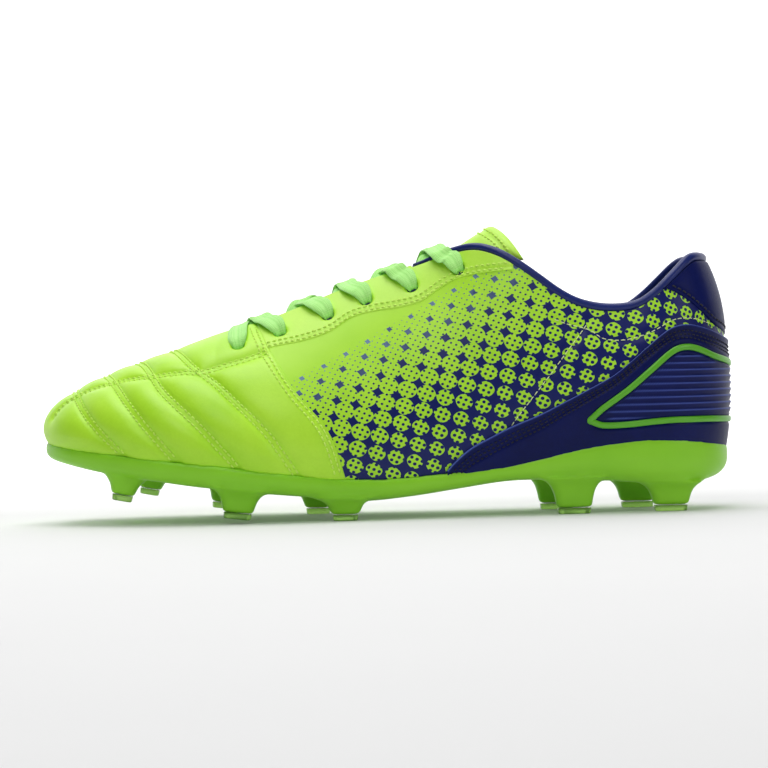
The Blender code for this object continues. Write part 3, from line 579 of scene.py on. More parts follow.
def moulded(name, light, deep, roughness, **fixed):
    """Injection-moulded rubber or plastic with flow marks and small scuffs."""
    n = Nodes(name)
    place = n.object_place()
    cloud = n.noise(place, 24.0, 3.0)
    scuffs = n.noise(place, 700.0, 5.0, 0.7)
    colour = n.mix(n.math("MULTIPLY_ADD", cloud, 1.6, -0.3, clamp=True), deep, light)
    rough = n.math("MULTIPLY_ADD", scuffs, 0.3, roughness - 0.15)
    return n.finish(colour, rough, n.bump(scuffs, 0.12, 0.00015), **fixed)


def woven(name, light, deep, pitch, roughness=0.85, depth=0.0002):
    """Cloth on the piece's own UV in millimetres: threads over and under, pitch apart."""
    n = Nodes(name)
    uv = n.add("SeparateXYZ")
    n.tree.links.new(n.cloth_place(), uv.inputs[0])
    turn = math.pi / pitch
    warp = n.math("ABSOLUTE", n.math("SINE", n.math("MULTIPLY", uv.outputs[1], turn)))
    weft = n.math("ABSOLUTE", n.math("SINE", n.math("MULTIPLY", uv.outputs[0], turn)))
    weave = n.math("MULTIPLY_ADD", weft, 0.45, n.math("MULTIPLY", warp, 0.55))
    place = n.object_place()
    fuzz = n.noise(place, 1500.0, 3.0)
    colour = n.mix(n.math("MULTIPLY_ADD", fuzz, 0.5, n.math("MULTIPLY", weave, 0.6), clamp=True),
                   deep, light)
    bump = n.bump(fuzz, 0.2, 0.0001, n.bump(weave, 0.8, depth))
    return n.finish(colour, roughness, bump, Sheen_Weight=0.3, Sheen_Roughness=0.5)


def thread(name, light, deep):
    """Twisted sewing thread."""
    n = Nodes(name)
    strands = n.noise(n.object_place(), 3000.0, 2.0)
    return n.finish(n.mix(strands, deep, light), 0.6, n.bump(strands, 0.3, 0.00008))


LIME = leather("lime_leather", rgb(190, 242, 62), rgb(164, 224, 34))
# The facings and the tongue are the same lime leather as the vamp. They are painted paler and bluer as
# painted top light, where the light falls on the top of the shoe.
LIME_PAINTED_TOP_LIGHT = leather("facing_leather_painted_top_light", rgb(196, 242, 84), rgb(174, 230, 54))
PRINTED = printed_leather()
NAVY_LEATHER = leather("navy_leather", rgb(10, 23, 92), rgb(6, 14, 62), 0.42, level=0.1)
# The heel cover's leather: its rim edge and rib crests are painted a paler blue as a painted highlight.
COVER_LEATHER = leather("navy_moulding", rgb(10, 23, 92), rgb(6, 14, 62), 0.4, level=0.14,
                        painted_highlight=rgb(84, 104, 192))
COLLAR_LEATHER = leather("collar_leather", rgb(22, 42, 118), rgb(12, 25, 84), 0.36, 2200.0, 0.35)
SOLE = moulded("sole_rubber", rgb(150, 220, 50), rgb(130, 203, 36), 0.38, Specular_IOR_Level=0.3)
TIP = moulded("stud_tip_clear", rgb(172, 214, 112), rgb(132, 186, 78), 0.2, Transmission_Weight=0.6,
              IOR=1.46)
INLAY_RUBBER = moulded("heel_line_rubber", rgb(98, 186, 30), rgb(80, 160, 24), 0.35)
LACE = woven("lace_weave", rgb(196, 255, 150), rgb(136, 232, 96), 0.62, 0.75, 0.0002)
LINING = woven("lining_knit", rgb(40, 62, 124), rgb(18, 30, 78), 0.9, 0.9, 0.0003)
SOCK = woven("sockliner_knit", rgb(46, 66, 120), rgb(24, 36, 86), 0.8, 0.9, 0.0003)
LIGHT_THREAD = thread("light_thread", rgb(220, 252, 120), rgb(188, 234, 74))
PALE_THREAD = thread("pale_thread", rgb(248, 255, 206), rgb(214, 236, 150))
NAVY_THREAD = thread("navy_thread", rgb(12, 18, 50), rgb(3, 5, 18))

# ---------------------------------------------------------------- quilting and stitches

QUILT_SEAMS = (
    ((-131.5, 56.2), (-130.1, 54.5), (-125.2, 47.3), (-117.6, 38.1), (-108.1, 28.9)),
    ((-118, 62.2), (-114.3, 60.3), (-106.6, 50.9), (-97.8, 39.6), (-86.1, 25.9)),
    ((-105, 67.3), (-100.1, 65.7), (-91.2, 54.6), (-76.3, 40.2), (-61.4, 22.8)),
    ((-92, 72.4), (-86.4, 71.1), (-79.9, 65.2), (-69.5, 57.4), (-62.3, 50.5), (-55.1, 43.3),
     (-47.8, 35.2), (-42.8, 27.6), (-37.6, 19.2)),
)
APRON_SEAM = ((-139.5, 45.5), (-134, 51.2), (-127.3, 54.9), (-118, 58), (-108.7, 60.2), (-98, 61.4),
              (-83.2, 62.6), (-74.8, 62.8), (-64.5, 65.6), (-56, 67.8), (-48.5, 70.2))
STITCH_PITCH, STITCH_LENGTH, STITCH_RADIUS = 2.4, 1.8, 0.36
ROW_OFFSET = 1.1
SNAP_REACH = 5.0


def distance_to(points, lines):
    """Distance from every point to the nearest of some lines of points."""
    flat = points.reshape(-1, 3)
    best = np.full(len(flat), 1e9)
    for line in lines:
        for start in range(0, len(flat), 4000):
            part = flat[start:start + 4000]
            gap = np.linalg.norm(part[:, None] - line[None], axis=-1).min(1)
            best[start:start + 4000] = np.minimum(best[start:start + 4000], gap)
    return best.reshape(points.shape[:-1])


def offset_line(station, t, side, offset):
    """A line on the skin moved sideways by offset millimetres, evenly spaced, with its normals."""
    line = skin(station, t, side)
    normal = skin_normal(station, t, side)
    along = unit(np.gradient(line, axis=0))
    line = line + np.cross(normal, along) * offset
    run = np.r_[0, np.cumsum(np.linalg.norm(np.diff(line, axis=0), axis=1))]
    return line, normal, run


def surface(obj):
    """The piece's faces, for laying stitches on."""
    points = [vertex.co for vertex in obj.data.vertices]
    return BVHTree.FromPolygons(points, [tuple(face.vertices) for face in obj.data.polygons])


def lay_on(centre, up, ground):
    """Points moved along their normals onto a piece's face."""
    flat, ups = centre.reshape(-1, 3), up.reshape(-1, 3)
    out = []
    for point, normal in zip(flat, ups):
        start = (point + normal * SNAP_REACH - BOX_MIDDLE) * MM
        hit = ground.ray_cast(Vector(start), Vector(-normal), 2 * SNAP_REACH * MM)[0]
        out.append(point if hit is None else np.array(hit) / MM + BOX_MIDDLE)
    return np.array(out).reshape(centre.shape)


def stitches_on(line, normal, run, ground, pitch=STITCH_PITCH, length=STITCH_LENGTH,
                radius=STITCH_RADIUS):
    """Rings of small thread arcs along a line: (stitches, rings, sides, 3)."""
    starts = np.arange(0.4, run[-1] - length, pitch)
    steps = np.array((0.0, 0.2, 0.5, 0.8, 1.0))
    lift = np.array((-0.3, 0.16, 0.3, 0.16, -0.3))
    at = starts[:, None] + steps[None] * length

    def sample(values):
        return np.stack([np.interp(at, run, values[:, k]) for k in range(3)], -1)

    centre, up = sample(line), unit(sample(normal))
    along = unit(np.gradient(centre, axis=1))
    across = np.cross(along, up)
    centre = lay_on(centre, up, ground) + up * lift[None, :, None]
    turns = np.linspace(0, 2 * math.pi, 6)[:-1]
    ring = (across[:, :, None] * np.cos(turns)[None, None, :, None]
            + up[:, :, None] * np.sin(turns)[None, None, :, None])
    return centre[:, :, None] + ring * radius


def sew(name, rows, finish, slot):
    """One piece of all the stitches in some rows."""
    arcs = np.concatenate(rows)
    count, rings, sides = arcs.shape[:3]
    one = grid_faces(rings, sides, wrap=True)
    faces = (one[None] + (np.arange(count) * rings * sides)[:, None, None]).reshape(-1, 4)
    return dress(new_piece(name, arcs.reshape(-1, 3), faces, [finish]), slot)


def row_of_stitches(station, t, side, ground, offset=0.0, **sizes):
    return stitches_on(*offset_line(station, t, side, offset), ground, **sizes)


def double_row(*line):
    return [row_of_stitches(*line, offset) for offset in (-ROW_OFFSET, ROW_OFFSET)]


# ---------------------------------------------------------------- the upper

QUILT_LOW, QUILT_PUFF, QUILT_FALL, QUILT_FLAT = -0.8, 2.6, 3.4, 1.4


def quilt_gaps(points):
    """Distance from every point to each sewn seam of the vamp."""
    gaps = []
    for seam in QUILT_SEAMS + (APRON_SEAM,):
        station, t = path_on_skin(seam)
        gaps.append(distance_to(points, [skin(station, t, side) for side in (LATERAL, MEDIAL)]))
    return np.array(gaps)


def quilt_depth(station, t, side):
    """How far the vamp's face stands above the skin: low along the seams, full between them."""
    gaps = quilt_gaps(skin(station, t, side))
    puff = np.prod(1 - np.exp(-np.maximum(gaps - QUILT_FLAT, 0) / QUILT_FALL), axis=0)
    gap = gaps.min(0)
    depth = QUILT_LOW + QUILT_PUFF * puff - 0.4 * np.exp(-(((gap - ROW_OFFSET) / 0.6) ** 2))
    seam = np.abs(station - vamp_back(t))
    depth = np.where(seam < 5, depth + (0.35 - depth) * (1 - seam / 5) ** 2, depth)
    toe = np.clip((station - TOE_TIP) / 28, 0, 1)
    ridge = np.clip((t - 0.6) / 0.3, 0, 1)
    depth = depth * (0.35 + 0.65 * toe) * (1 - 0.45 * ridge)
    return depth * (0.4 + 0.6 * np.clip(t / 0.1, 0, 1))


EYELETS = ((-60.9, 72.3), (-43.6, 77.8), (-23.8, 84.4), (-7.8, 90.3), (11.2, 95.2), (30.5, 101.9))
HOLE_RADIUS, HOLE_DEPTH = 2.5, 3.4
SEAM_LAP = 0.9
FACING_BACK, TAB_FRONT = 52, 113


def eyelet(row):
    station, height = EYELETS[row]
    return station, level_at(station, height)


def hole_depth(station, t, side, rows):
    """Punched holes, as steep round wells in the leather."""
    points = skin(station, t, side)
    depth = np.zeros(points.shape[:-1])
    for row in rows:
        for one in (LATERAL, MEDIAL):
            centre = skin(*eyelet(row), one)
            gap = np.linalg.norm(points - centre, axis=-1)
            depth -= HOLE_DEPTH * np.exp(-((gap / HOLE_RADIUS) ** 6))
            depth -= 0.35 * np.exp(-((gap / 5.0) ** 2))
    return depth


def make_vamp():
    """Its columns run from the back seam, where the leather is cut, to the toe tip and back."""
    rows, row_dips = soft_shares(150, 110.0)
    half, half_dips = soft_shares(146, 120.0)
    share, side = (column[:, None] for column in columns_round(half[half < 0.995], 1.0))
    column_dips = np.r_[half_dips[half < 0.995], 0.0, half_dips[half < 0.995][::-1]]
    dips = np.minimum(column_dips[:, None], np.where(rows > 0.5, 0, row_dips)[None])
    t = rows[None] + 0 * share
    back = vamp_back(t) + SEAM_LAP
    station = back + share * (TOE_TIP - back)
    depth = quilt_depth(station, t, side) + dips + hole_depth(station, t, side, [0])
    vamp = skin_patch("vamp_leather", station, t, side, depth, -SKIN_THICK, LIME)
    return dress(vamp, "lime_leather", "vamp")


def upper_span(station):
    """The quarter's top edge: under the facing, the collar's binding or the heel tab."""
    collar = level(COLLAR_T, station)
    top = np.where(station < FACING_BACK, level(FACING_T, station) + 0.004, collar)
    return np.where(station > TAB_FRONT, np.minimum(level(TAB_T, station) + 0.01, collar), top)


def slanted_grid(columns, back, rows, low, high):
    """station and t grids whose front edge is the vamp's back seam."""
    t = np.broadcast_to(rows[None], (len(columns), len(rows))) * 0.7
    share = columns[:, None] + 0 * t
    for _ in range(14):
        front = vamp_back(t)
        station = front + share * (back - front)
        t = low(station) + (high(station) - low(station)) * rows[None]
    return station, t


def make_quarters():
    pieces = {}
    rows, row_dips = soft_shares(64, 90.0)
    columns, column_dips = soft_shares(190, 200.0)
    for side, word in ((LATERAL, "lateral"), (MEDIAL, "medial")):
        station, t = slanted_grid(columns, HEEL_BACK, rows, lambda q: 0 * q, upper_span)
        dips = np.minimum(column_dips[:, None], row_dips[None]) * (columns < 0.5)[:, None]
        face = dips + quarter_dents(station, t, side)
        piece = skin_patch(f"quarter_{word}_leather", station, t, side, face, -SKIN_THICK, PRINTED)
        pieces[side] = dress(piece, "printed_leather", f"quarter_{word}")
    return pieces


QUARTER_LINE = ((49.9, 36.7), (58, 47), (66.5, 57.5), (75, 68.5), (83, 78.8))
QUARTER_CURVE = ((68.4, 80.1), (74, 77.8), (82.9, 75.2), (88.4, 71.5), (97.4, 70.7), (108.7, 74),
                 (117.2, 78.4), (124.8, 79), (133.5, 76.9))


def quarter_dents(station, t, side):
    """The single seams pull the leather in."""
    points = skin(station, t, side)
    lines = [skin(*path_on_skin(seam), side) for seam in (QUARTER_LINE, QUARTER_CURVE)]
    gap = distance_to(points, lines)
    return -0.5 * np.exp(-((gap / 1.5) ** 2))


# Millimetres for each 1.0 of t where the facings, and the heel's cover and tab, are sewn.
FACING_SCALE, HEEL_SCALE = 90, 95
FACING_CHANNEL = 2.6


def make_facings():
    pieces = {}
    rows, row_dips = soft_shares(30, 24.0)
    columns, column_dips = soft_shares(130, 105.0)

    def low(station):
        return level(FACING_T, station) - 0.012

    def high(station):
        return level(COLLAR_T, station)

    for side, word in ((LATERAL, "lateral"), (MEDIAL, "medial")):
        station, t = slanted_grid(columns, FACING_BACK + 1.0, rows, low, high)
        dips = np.minimum(column_dips[:, None], row_dips[None])
        face = 0.55 + dips + hole_depth(station, t, side, range(1, 6))
        seam = np.minimum(1, (t - low(station)) * FACING_SCALE / FACING_CHANNEL)
        face = face - 0.25 * np.exp(-(((seam - 0.55) / 0.35) ** 2))
        piece = skin_patch(f"facing_{word}_leather", station, t, side, face, -SKIN_THICK, LIME_PAINTED_TOP_LIGHT)
        pieces[side] = dress(piece, "lime_leather", f"facing_{word}")
    return pieces


RIB_PITCH, RIB_HEIGHT, RIB_START = 2.7, 0.75, 39.6
INLAY_HALF, INLAY_TIP = 1.25, 84.0
COVER_FRONT = 23.5


def cover_depth(station, t, side):
    """The heel cover's moulding: a raised rim, a sewn channel, the line's groove and the ribs inside it.

    Comes with a painted highlight for each place: the rim's edge and the ribs' upper edges, where the
    light would catch them, are painted paler."""
    points = skin(station, t, side)
    z = points[..., 2]
    from_edge = (level(COVER_T, station) - t) * HEEL_SCALE
    depth = np.full(z.shape, 1.35)
    depth += 0.45 * np.exp(-((from_edge / 1.0) ** 2))
    depth -= 0.6 * np.exp(-(((from_edge - 5.2) / 2.8) ** 4))
    top, bottom = spline(INLAY_TOP, station), spline(INLAY_BOTTOM, station)
    inside = np.clip(np.minimum(np.minimum(top - z - 2.2, z - bottom - 1.8) / 0.8,
                                (station - INLAY_TIP - 4) / 3), 0, 1)
    phase = np.mod((z - RIB_START) / RIB_PITCH, 1.0)
    rib = np.where(phase < 0.82, phase / 0.82, (1 - phase) / 0.18)
    depth += inside * (RIB_HEIGHT * rib - 0.55)
    near = np.minimum(np.abs(z - top), np.abs(z - bottom))
    groove = np.exp(-((near / 1.9) ** 6)) * np.clip((station - INLAY_TIP + 3) / 3, 0, 1)
    depth -= 0.55 * groove
    # Painted highlight: a pale line along each rib's upper edge and along the rim's edge.
    painted_highlight = 0.7 * inside * np.exp(-(((phase - 0.8) / 0.1) ** 2))
    return depth, np.maximum(painted_highlight, 0.9 * np.exp(-((from_edge / 0.5) ** 2)))


def make_heel_cover():
    q, side = columns_round(evenly(COVER_FRONT, 84, HEEL_AXIS, 56, HEEL_BACK), HEEL_BACK)
    rows, row_dips = soft_shares(150, 55.0)
    station, t = band(q, rows, 0 * q, level(COVER_T, q))
    depth, painted_highlight = cover_depth(station, t, side[:, None])
    depth += row_dips * 1.4 * (rows > 0.5)
    cover = skin_patch("heel_cover_moulding", station, t, side[:, None], depth, 0.15, COVER_LEATHER, painted_highlight)
    return dress(cover, "navy_leather", "heel_cover")


def make_heel_tab():
    q, side = columns_round(evenly(TAB_FRONT + 1.5, 46, HEEL_BACK), HEEL_BACK)
    rows, row_dips = soft_shares(40, 30.0)
    station, t = band(q, rows, level(TAB_T, q), level(COLLAR_T, q))
    puff = np.sin(np.pi * rows) ** 0.7 * np.clip((station - TAB_FRONT - 1) / 20, 0, 1)
    seam = (t - level(TAB_T, station)) * HEEL_SCALE
    depth = 0.75 + row_dips + 0.9 * puff - 0.35 * np.exp(-(((seam - 2.6) / 1.2) ** 2))
    tab = skin_patch("heel_tab_leather", station, t, side[:, None], depth, -SKIN_THICK + 0.2,
                     NAVY_LEATHER)
    return dress(tab, "navy_leather", "heel_tab")


def make_heel_line():
    """The green line let into the heel cover, a closed ring that runs to a rounded point on each side."""
    stations = (82, 82.6, 83.6, 85, 87, 90, 94, 98, 102, 106, 110, 113, 116, 118, 121, 124, 128, 132, 136,
                140, 145, 150)
    q, side = columns_round(stations, HEEL_BACK)
    top, bottom = spline(INLAY_TOP, q), spline(INLAY_BOTTOM, q)
    half = (top - bottom) / 2 * np.maximum(np.sqrt(np.clip((q - 81.4) / 4.5, 0, 1)), 0.3)
    over, under = (np.column_stack([q, side, (top + bottom) / 2 + edge]) for edge in (half, -half))
    loop = np.concatenate([over, under[::-1], over[:1]])
    fine = np.linspace(0, len(loop) - 1, 360)[:-1]
    q, side, z = (np.interp(fine, np.arange(len(loop)), column) for column in loop.T)
    side = np.where(side < 0, LATERAL, MEDIAL)
    t = np.array([level_at(station, height) for station, height in zip(q, z)])
    middle = skin(q, t, side)
    normal = skin_normal(q, t, side)
    for _ in range(4):
        middle = (np.roll(middle, 1, 0) + middle * 2 + np.roll(middle, -1, 0)) / 4
    along = unit(np.roll(middle, -1, 0) - np.roll(middle, 1, 0))
    across = np.cross(normal, along)
    profile = ((-1.0, 0.5), (-1.0, 1.35), (-0.82, 1.72), (-0.4, 1.9), (0.4, 1.9), (0.82, 1.72),
               (1.0, 1.35), (1.0, 0.5))
    rings = np.stack([middle + across * INLAY_HALF * a + normal * h for a, h in profile], 1)
    count, sides = rings.shape[:2]
    faces = grid_faces(count + 1, sides, wrap=True) % (count * sides)
    dress(new_piece("heel_line", rings.reshape(-1, 3), faces, [INLAY_RUBBER]), "heel_trim", "heel_inlay")


def pad_swell(station, t):
    """How far the collar's padding stands in, as a share of its full depth."""
    return (np.clip((station - 30) / 35, 0, 1)
            * np.sin(np.pi * np.clip((t - 0.5) / 0.5, 0, 1)) ** 0.8)


def make_collar():
    """The rolled binding along the collar."""
    q, side = columns_round(evenly(BINDING_START, 110, HEEL_AXIS, 50, HEEL_BACK), HEEL_BACK)
    line = skin(q, 1.0, side, -0.9)
    line[:, 2] += 0.25
    for _ in range(3):
        line[1:-1] = (line[:-2] + line[1:-1] * 2 + line[2:]) / 4
    radius = 1.75 * np.clip((np.minimum(q - BINDING_START, 12) + 3) / 15, 0.5, 1)
    radius = radius + 0.25 * np.clip((q - 105) / 30, 0, 1)
    along = unit(np.gradient(line, axis=0))
    across = unit(np.cross(along, (0, 0, 1)))
    up = np.cross(across, along)
    turns = np.linspace(0, 2 * math.pi, 17)[:-1]
    rings = line[:, None] + (across[:, None] * np.cos(turns)[None, :, None]
                             + up[:, None] * np.sin(turns)[None, :, None]) * radius[:, None, None]
    piece = new_piece("collar_binding_roll", rings.reshape(-1, 3),
                      grid_faces(len(line), 16, wrap=True), [COLLAR_LEATHER])
    dress(piece, "navy_leather", "collar_binding")


def cup_floor(station):
    return spline(UNDERSIDE, np.clip(station, -118, 140)) + 3.2


def lining_grid(q, side, low, high, rows, extra):
    """Points down the inside of each rib: over the pad, down the skin, and in to the sockliner."""
    station, t = band(q, rows, low, high)
    wall = skin(station, t, side[:, None], LINING_AT - 0.3 - extra - COLLAR_PAD * pad_swell(station, t))
    floor = cup_floor(q) + LINING_FOOT
    rim = spline(FEATHER["z"], q)
    foot = [rail_points(FEATHER, q, side, -5.6 - extra, floor + share * (rim - floor))
            for share in (0.0, 0.35, 0.7)]
    return np.concatenate([np.stack(foot, 1), wall], 1)


def make_linings():
    q, side = columns_round(evenly(-34, 78, HEEL_AXIS, 34, HEEL_BACK), HEEL_BACK)
    low_front = level(FACING_T, q) - 0.1 - 0.1 * np.clip((FACING_BACK - q) / 4, 0, 1)
    high = np.where(q < FACING_BACK, low_front, level(COLLAR_T, q) + 0.004)
    piece = add_lining("quarter_lining", q, side, 0.08 + 0 * q, high, 34)
    q, side = columns_round(evenly(-36, 24, TOE_AXIS, 40, TOE_TIP), TOE_TIP)
    reach = np.clip((TOE_AXIS - q) / 18, 0, 1)
    add_lining("vamp_lining", q, side, 1 / 9 + 0 * q, (6 + 2 * reach) / 9, 24)


def add_lining(node, q, side, low, high, rows):
    shares = np.linspace(0, 1, rows)
    outer, inner = (lining_grid(q, side, low, high, shares, extra) for extra in (0.0, LINING_THICK))
    points = np.concatenate([outer.reshape(-1, 3), inner.reshape(-1, 3)])
    along = np.r_[0, np.cumsum(np.linalg.norm(np.diff(outer[:, 0], axis=0), axis=1))]
    up = np.cumsum(np.linalg.norm(np.diff(outer, axis=1, prepend=outer[:, :1]), axis=-1), axis=1)
    uv = np.stack([along[:, None] + 0 * up, up], -1).reshape(-1, 2)
    piece = new_piece(node + "_cloth", points, shell_faces(*outer.shape[:2]), [LINING],
                      np.concatenate([uv, uv]))
    return dress(piece, "lining_fabric", node)


# ---------------------------------------------------------------- the tongue

TONGUE_RIDGE = ((-76, 70.8), (-70, 72.6), (-60, 76.2), (-40, 83.4), (-26, 88.9), (-9, 95), (5, 99.8),
                (15, 103.6), (27, 109.6), (36, 115.2), (46, 121.3), (60, 129))
TONGUE_HALF = ((-76, 12), (-64, 16), (-40, 18.5), (-9, 19), (18, 18.5), (26, 14), (32, 13.5), (40, 17),
               (57, 22.5))
TONGUE_FRONT, TONGUE_END, TONGUE_END_CURVE, TONGUE_BEND = -75.0, 46.0, 11.0, 25.0
TONGUE_THICK, TONGUE_LONG, TONGUE_EDGE = 5.4, 120, 2.6
TONGUE_SEWN = (3.6, 6.2)


TOP_CURVE = 0.042


def tongue_curve(x):
    """How tightly the tongue is rolled: to lie inside the facings, and to a set curve at its free top."""
    station = np.minimum(x, 30.0)
    wing = skin(station, 0.72, LATERAL, -6.0)
    tight = (spline(TONGUE_RIDGE, station) - wing[..., 2]) / wing[..., 1] ** 2
    return tight + (TOP_CURVE - tight) * np.clip((x - 20) / 25, 0, 1)


def tongue_points(share, across, depth):
    end = TONGUE_END + TONGUE_END_CURVE * across**2
    x = TONGUE_FRONT + share * (end - TONGUE_FRONT)
    y = across * spline(TONGUE_HALF, x)
    curve = tongue_curve(x)
    slope = (spline(TONGUE_RIDGE, x + 1) - spline(TONGUE_RIDGE, x - 1)) / 2
    normal = unit(np.stack([-slope, 2 * curve * y, 1 + 0 * y], -1))
    face = np.stack([x, y, spline(TONGUE_RIDGE, x) - curve * y * y], -1)
    return face - normal * np.asarray(depth)[..., None], normal


def make_tongue():
    shares = np.r_[0, 0.004, 0.012, np.linspace(0.03, 0.965, 90), 0.978, 0.988, 0.995, 0.999, 1]
    across = np.r_[-1, -0.99, -0.96, np.linspace(-0.92, 0.92, 37), 0.96, 0.99, 1]
    s, a = np.meshgrid(shares, across, indexing="ij")
    gap = np.minimum(np.minimum(s, 1 - s) * TONGUE_LONG, (1 - np.abs(a)) * 18)
    gap = np.minimum(gap / TONGUE_EDGE, 1)
    thin = (1 - np.sqrt(gap * (2 - gap))) * TONGUE_THICK / 2
    seam = 0.35 * np.exp(-((((1 - s) * TONGUE_LONG - 5.0) / 1.1) ** 2))
    outer, _ = tongue_points(s, a, thin + seam)
    inner, _ = tongue_points(s, a, TONGUE_THICK - thin)
    faces = shell_faces(*s.shape)
    size = (s.shape[0] - 1) * (s.shape[1] - 1)
    slots = np.zeros(len(faces), int)
    slots[size:2 * size] = 1
    uv = np.stack([s * TONGUE_LONG, a * 20], -1).reshape(-1, 2)
    tongue = new_piece("tongue_flap", np.concatenate([outer.reshape(-1, 3), inner.reshape(-1, 3)]),
                       faces, [LIME_PAINTED_TOP_LIGHT, LINING], np.concatenate([uv, uv]), slots)
    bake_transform(tongue)
    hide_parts("tongue_cover", "tongue_padding", "tongue_backing", "tongue_top_cover",
                "tongue_top_padding", "tongue_top_backing")

    rows, ground = [], surface(tongue)
    sweep = np.linspace(-0.93, 0.93, 120)
    for from_end in TONGUE_SEWN:
        line, normal = tongue_points(1 - from_end / TONGUE_LONG + 0 * sweep, sweep, 0 * sweep + 0.12)
        run = np.r_[0, np.cumsum(np.linalg.norm(np.diff(line, axis=0), axis=1))]
        rows.append(stitches_on(line, normal, run, ground))
    sewn = sew("tongue_stitches", rows, LIGHT_THREAD, "lime_leather")
    sewn.parent = None
    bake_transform(sewn)


# ---------------------------------------------------------------- the lace

LACE_SLOPE = np.array((0.948, 0, 0.317))
LACE_HALF_WIDE, LACE_HALF_BUNCHED, LACE_HALF_THICK = 4.2, 2.2, 0.6
LACE_COLUMNS, LACE_GIRTH = 22, 18


def lace_pass(row, side):
    """(place, half width, fullness) over the facing's edge, down a hole and back up to the throat."""
    station, t = eyelet(row)
    over = 1.25
    round_binding = station + 4 > BINDING_START
    edge_over, edge_under, under = (3.0, -3.35, -3.2) if round_binding else (1.5, -2.7, -2.3)
    lean = 0 if row == 0 else 6.5
    wide, bunched = LACE_HALF_WIDE, LACE_HALF_BUNCHED
    return [
        (skin(station - lean, 0.985, side, edge_over), wide, 0.0),
        (skin(station - 0.66 * lean, 1 - 0.4 * (1 - t), side, over + 1.0), wide, 0.05),
        (skin(station - 0.3 * lean, t + 0.055, side, over + 1.1), wide, 0.15),
        (skin(station - 0.08 * lean, t + 0.018, side, over + 0.1), wide * 0.8, 0.6),
        (skin(station, t + 0.003, side, -1.0), bunched, 1.0),
        (skin(station + 0.6, t + 0.03, side, under - 0.5), bunched * 1.1, 0.8),
        (skin(station + 2.0, 1 - 0.5 * (1 - t), side, under - 0.3), wide * 0.7, 0.3),
        (skin(station + 3.5, 0.99, side, edge_under), wide * 0.85, 0.1),
    ]


def lace_branch(side):
    """Half the lace, from the bar over the front holes to its end tucked under the last one."""

    def over_throat(station, lift):
        return np.array((station, 0, spline(EDGE["z"], station) + lift)), LACE_HALF_WIDE, 0.0

    points = [over_throat(EYELETS[0][0], 2.0)]
    for row in range(len(EYELETS)):
        points += lace_pass(row, side)
        if row + 1 < len(EYELETS):
            above = side == (LATERAL if row % 2 else MEDIAL)
            lift = (2.9 if above else 1.2) + (1.4 if row == len(EYELETS) - 2 else 0)
            points.append(over_throat((EYELETS[row][0] + EYELETS[row + 1][0]) / 2 - 1.0, lift))
            side = -side
    return points[:-1]


def make_lace():
    one, other = lace_branch(MEDIAL), lace_branch(LATERAL)
    knots = list(reversed(one)) + other[1:]
    place, half, full = (np.array(column) for column in zip(*knots))
    run = np.r_[0, np.cumsum(np.linalg.norm(np.diff(place, axis=0), axis=1))]
    at = np.arange(0, run[-1], 0.7)
    line = np.stack([spline(np.column_stack([run, place[:, k]]), at) for k in range(3)], -1)
    half, full = np.interp(at, run, half), np.interp(at, run, full)
    along = unit(np.gradient(line, axis=0))
    wide = unit(LACE_SLOPE - along * (along @ LACE_SLOPE)[:, None])
    thin = np.cross(along, wide)
    turns = np.linspace(0, 2 * math.pi, LACE_COLUMNS + 1)[:-1]
    across = np.sign(np.cos(turns)) * np.abs(np.cos(turns)) ** 0.55
    height = np.sign(np.sin(turns)) * np.abs(np.sin(turns)) ** 0.75
    ribs = 1 + 0.28 * np.cos(across * math.pi * 3.0)
    fold = 1 + np.sin(at * 0.9) * 0.05
    thick = LACE_HALF_THICK * ((1 + 1.3 * full) * fold)[:, None] * ribs
    cup = -0.42 * full[:, None] * across**2
    rings = (line[:, None] + wide[:, None] * (across * half[:, None])[..., None]
             + thin[:, None] * (height * thick + cup)[..., None])
    uv = np.stack(np.broadcast_arrays(at[:, None], turns / (2 * math.pi) * LACE_GIRTH), -1)
    lace = new_piece("lace_strap", rings.reshape(-1, 3), grid_faces(len(at), LACE_COLUMNS, wrap=True),
                     [LACE], uv.reshape(-1, 2))
    dress(lace, "lace_fabric", "shoelace")


# ---------------------------------------------------------------- the sole

# Each stud: name, x, y, length and width of its tip, height of its foot, tilt in degrees.
STUDS = (
    ("lateral_1", -110.0, -25.0, 8.4, 7.0, 10.2, 11.0),
    ("lateral_2", -62.3, -35.0, 11.4, 8.0, 2.0, 7.0),
    ("lateral_3", -18.3, -31.0, 10.4, 8.0, 0.0, 0.0),
    ("lateral_4", 75.6, -22.5, 13.6, 8.0, 0.0, 0.0),
    ("lateral_5", 115.7, -19.0, 13.6, 8.0, 0.0, 0.0),
    ("medial_1", -104.0, 34.0, 8.4, 7.0, 10.2, 11.0),
    ("medial_2", -71.5, 38.0, 11.4, 8.0, 3.2, 7.0),
    ("medial_3", -31.0, 34.0, 10.4, 8.0, 0.0, 0.0),
    ("medial_4", 71.0, 22.0, 13.6, 8.0, 0.0, 0.0),
    ("medial_5", 105.5, 20.0, 13.6, 8.0, 0.0, 0.0),
)
STUD_TIP, STUD_CORNER, STUD_SINK = 2.5, 2.6, 1.4
TIP_JOIN = 2.65
SOLE_VOXEL, SOLE_SMOOTH = 0.8, 16


def underside_at(x):
    if x < TOE_AXIS:
        angle = math.asin((TOE_AXIS - x) / FEATHER["toe"])
        x = TOE_AXIS - angle / (math.pi / 2) * (TOE_AXIS - TOE_TIP)
    elif x > HEEL_AXIS:
        angle = math.asin((x - HEEL_AXIS) / FEATHER["heel"])
        x = HEEL_AXIS + angle / (math.pi / 2) * (HEEL_BACK - HEEL_AXIS)
    return float(spline(UNDERSIDE, x))


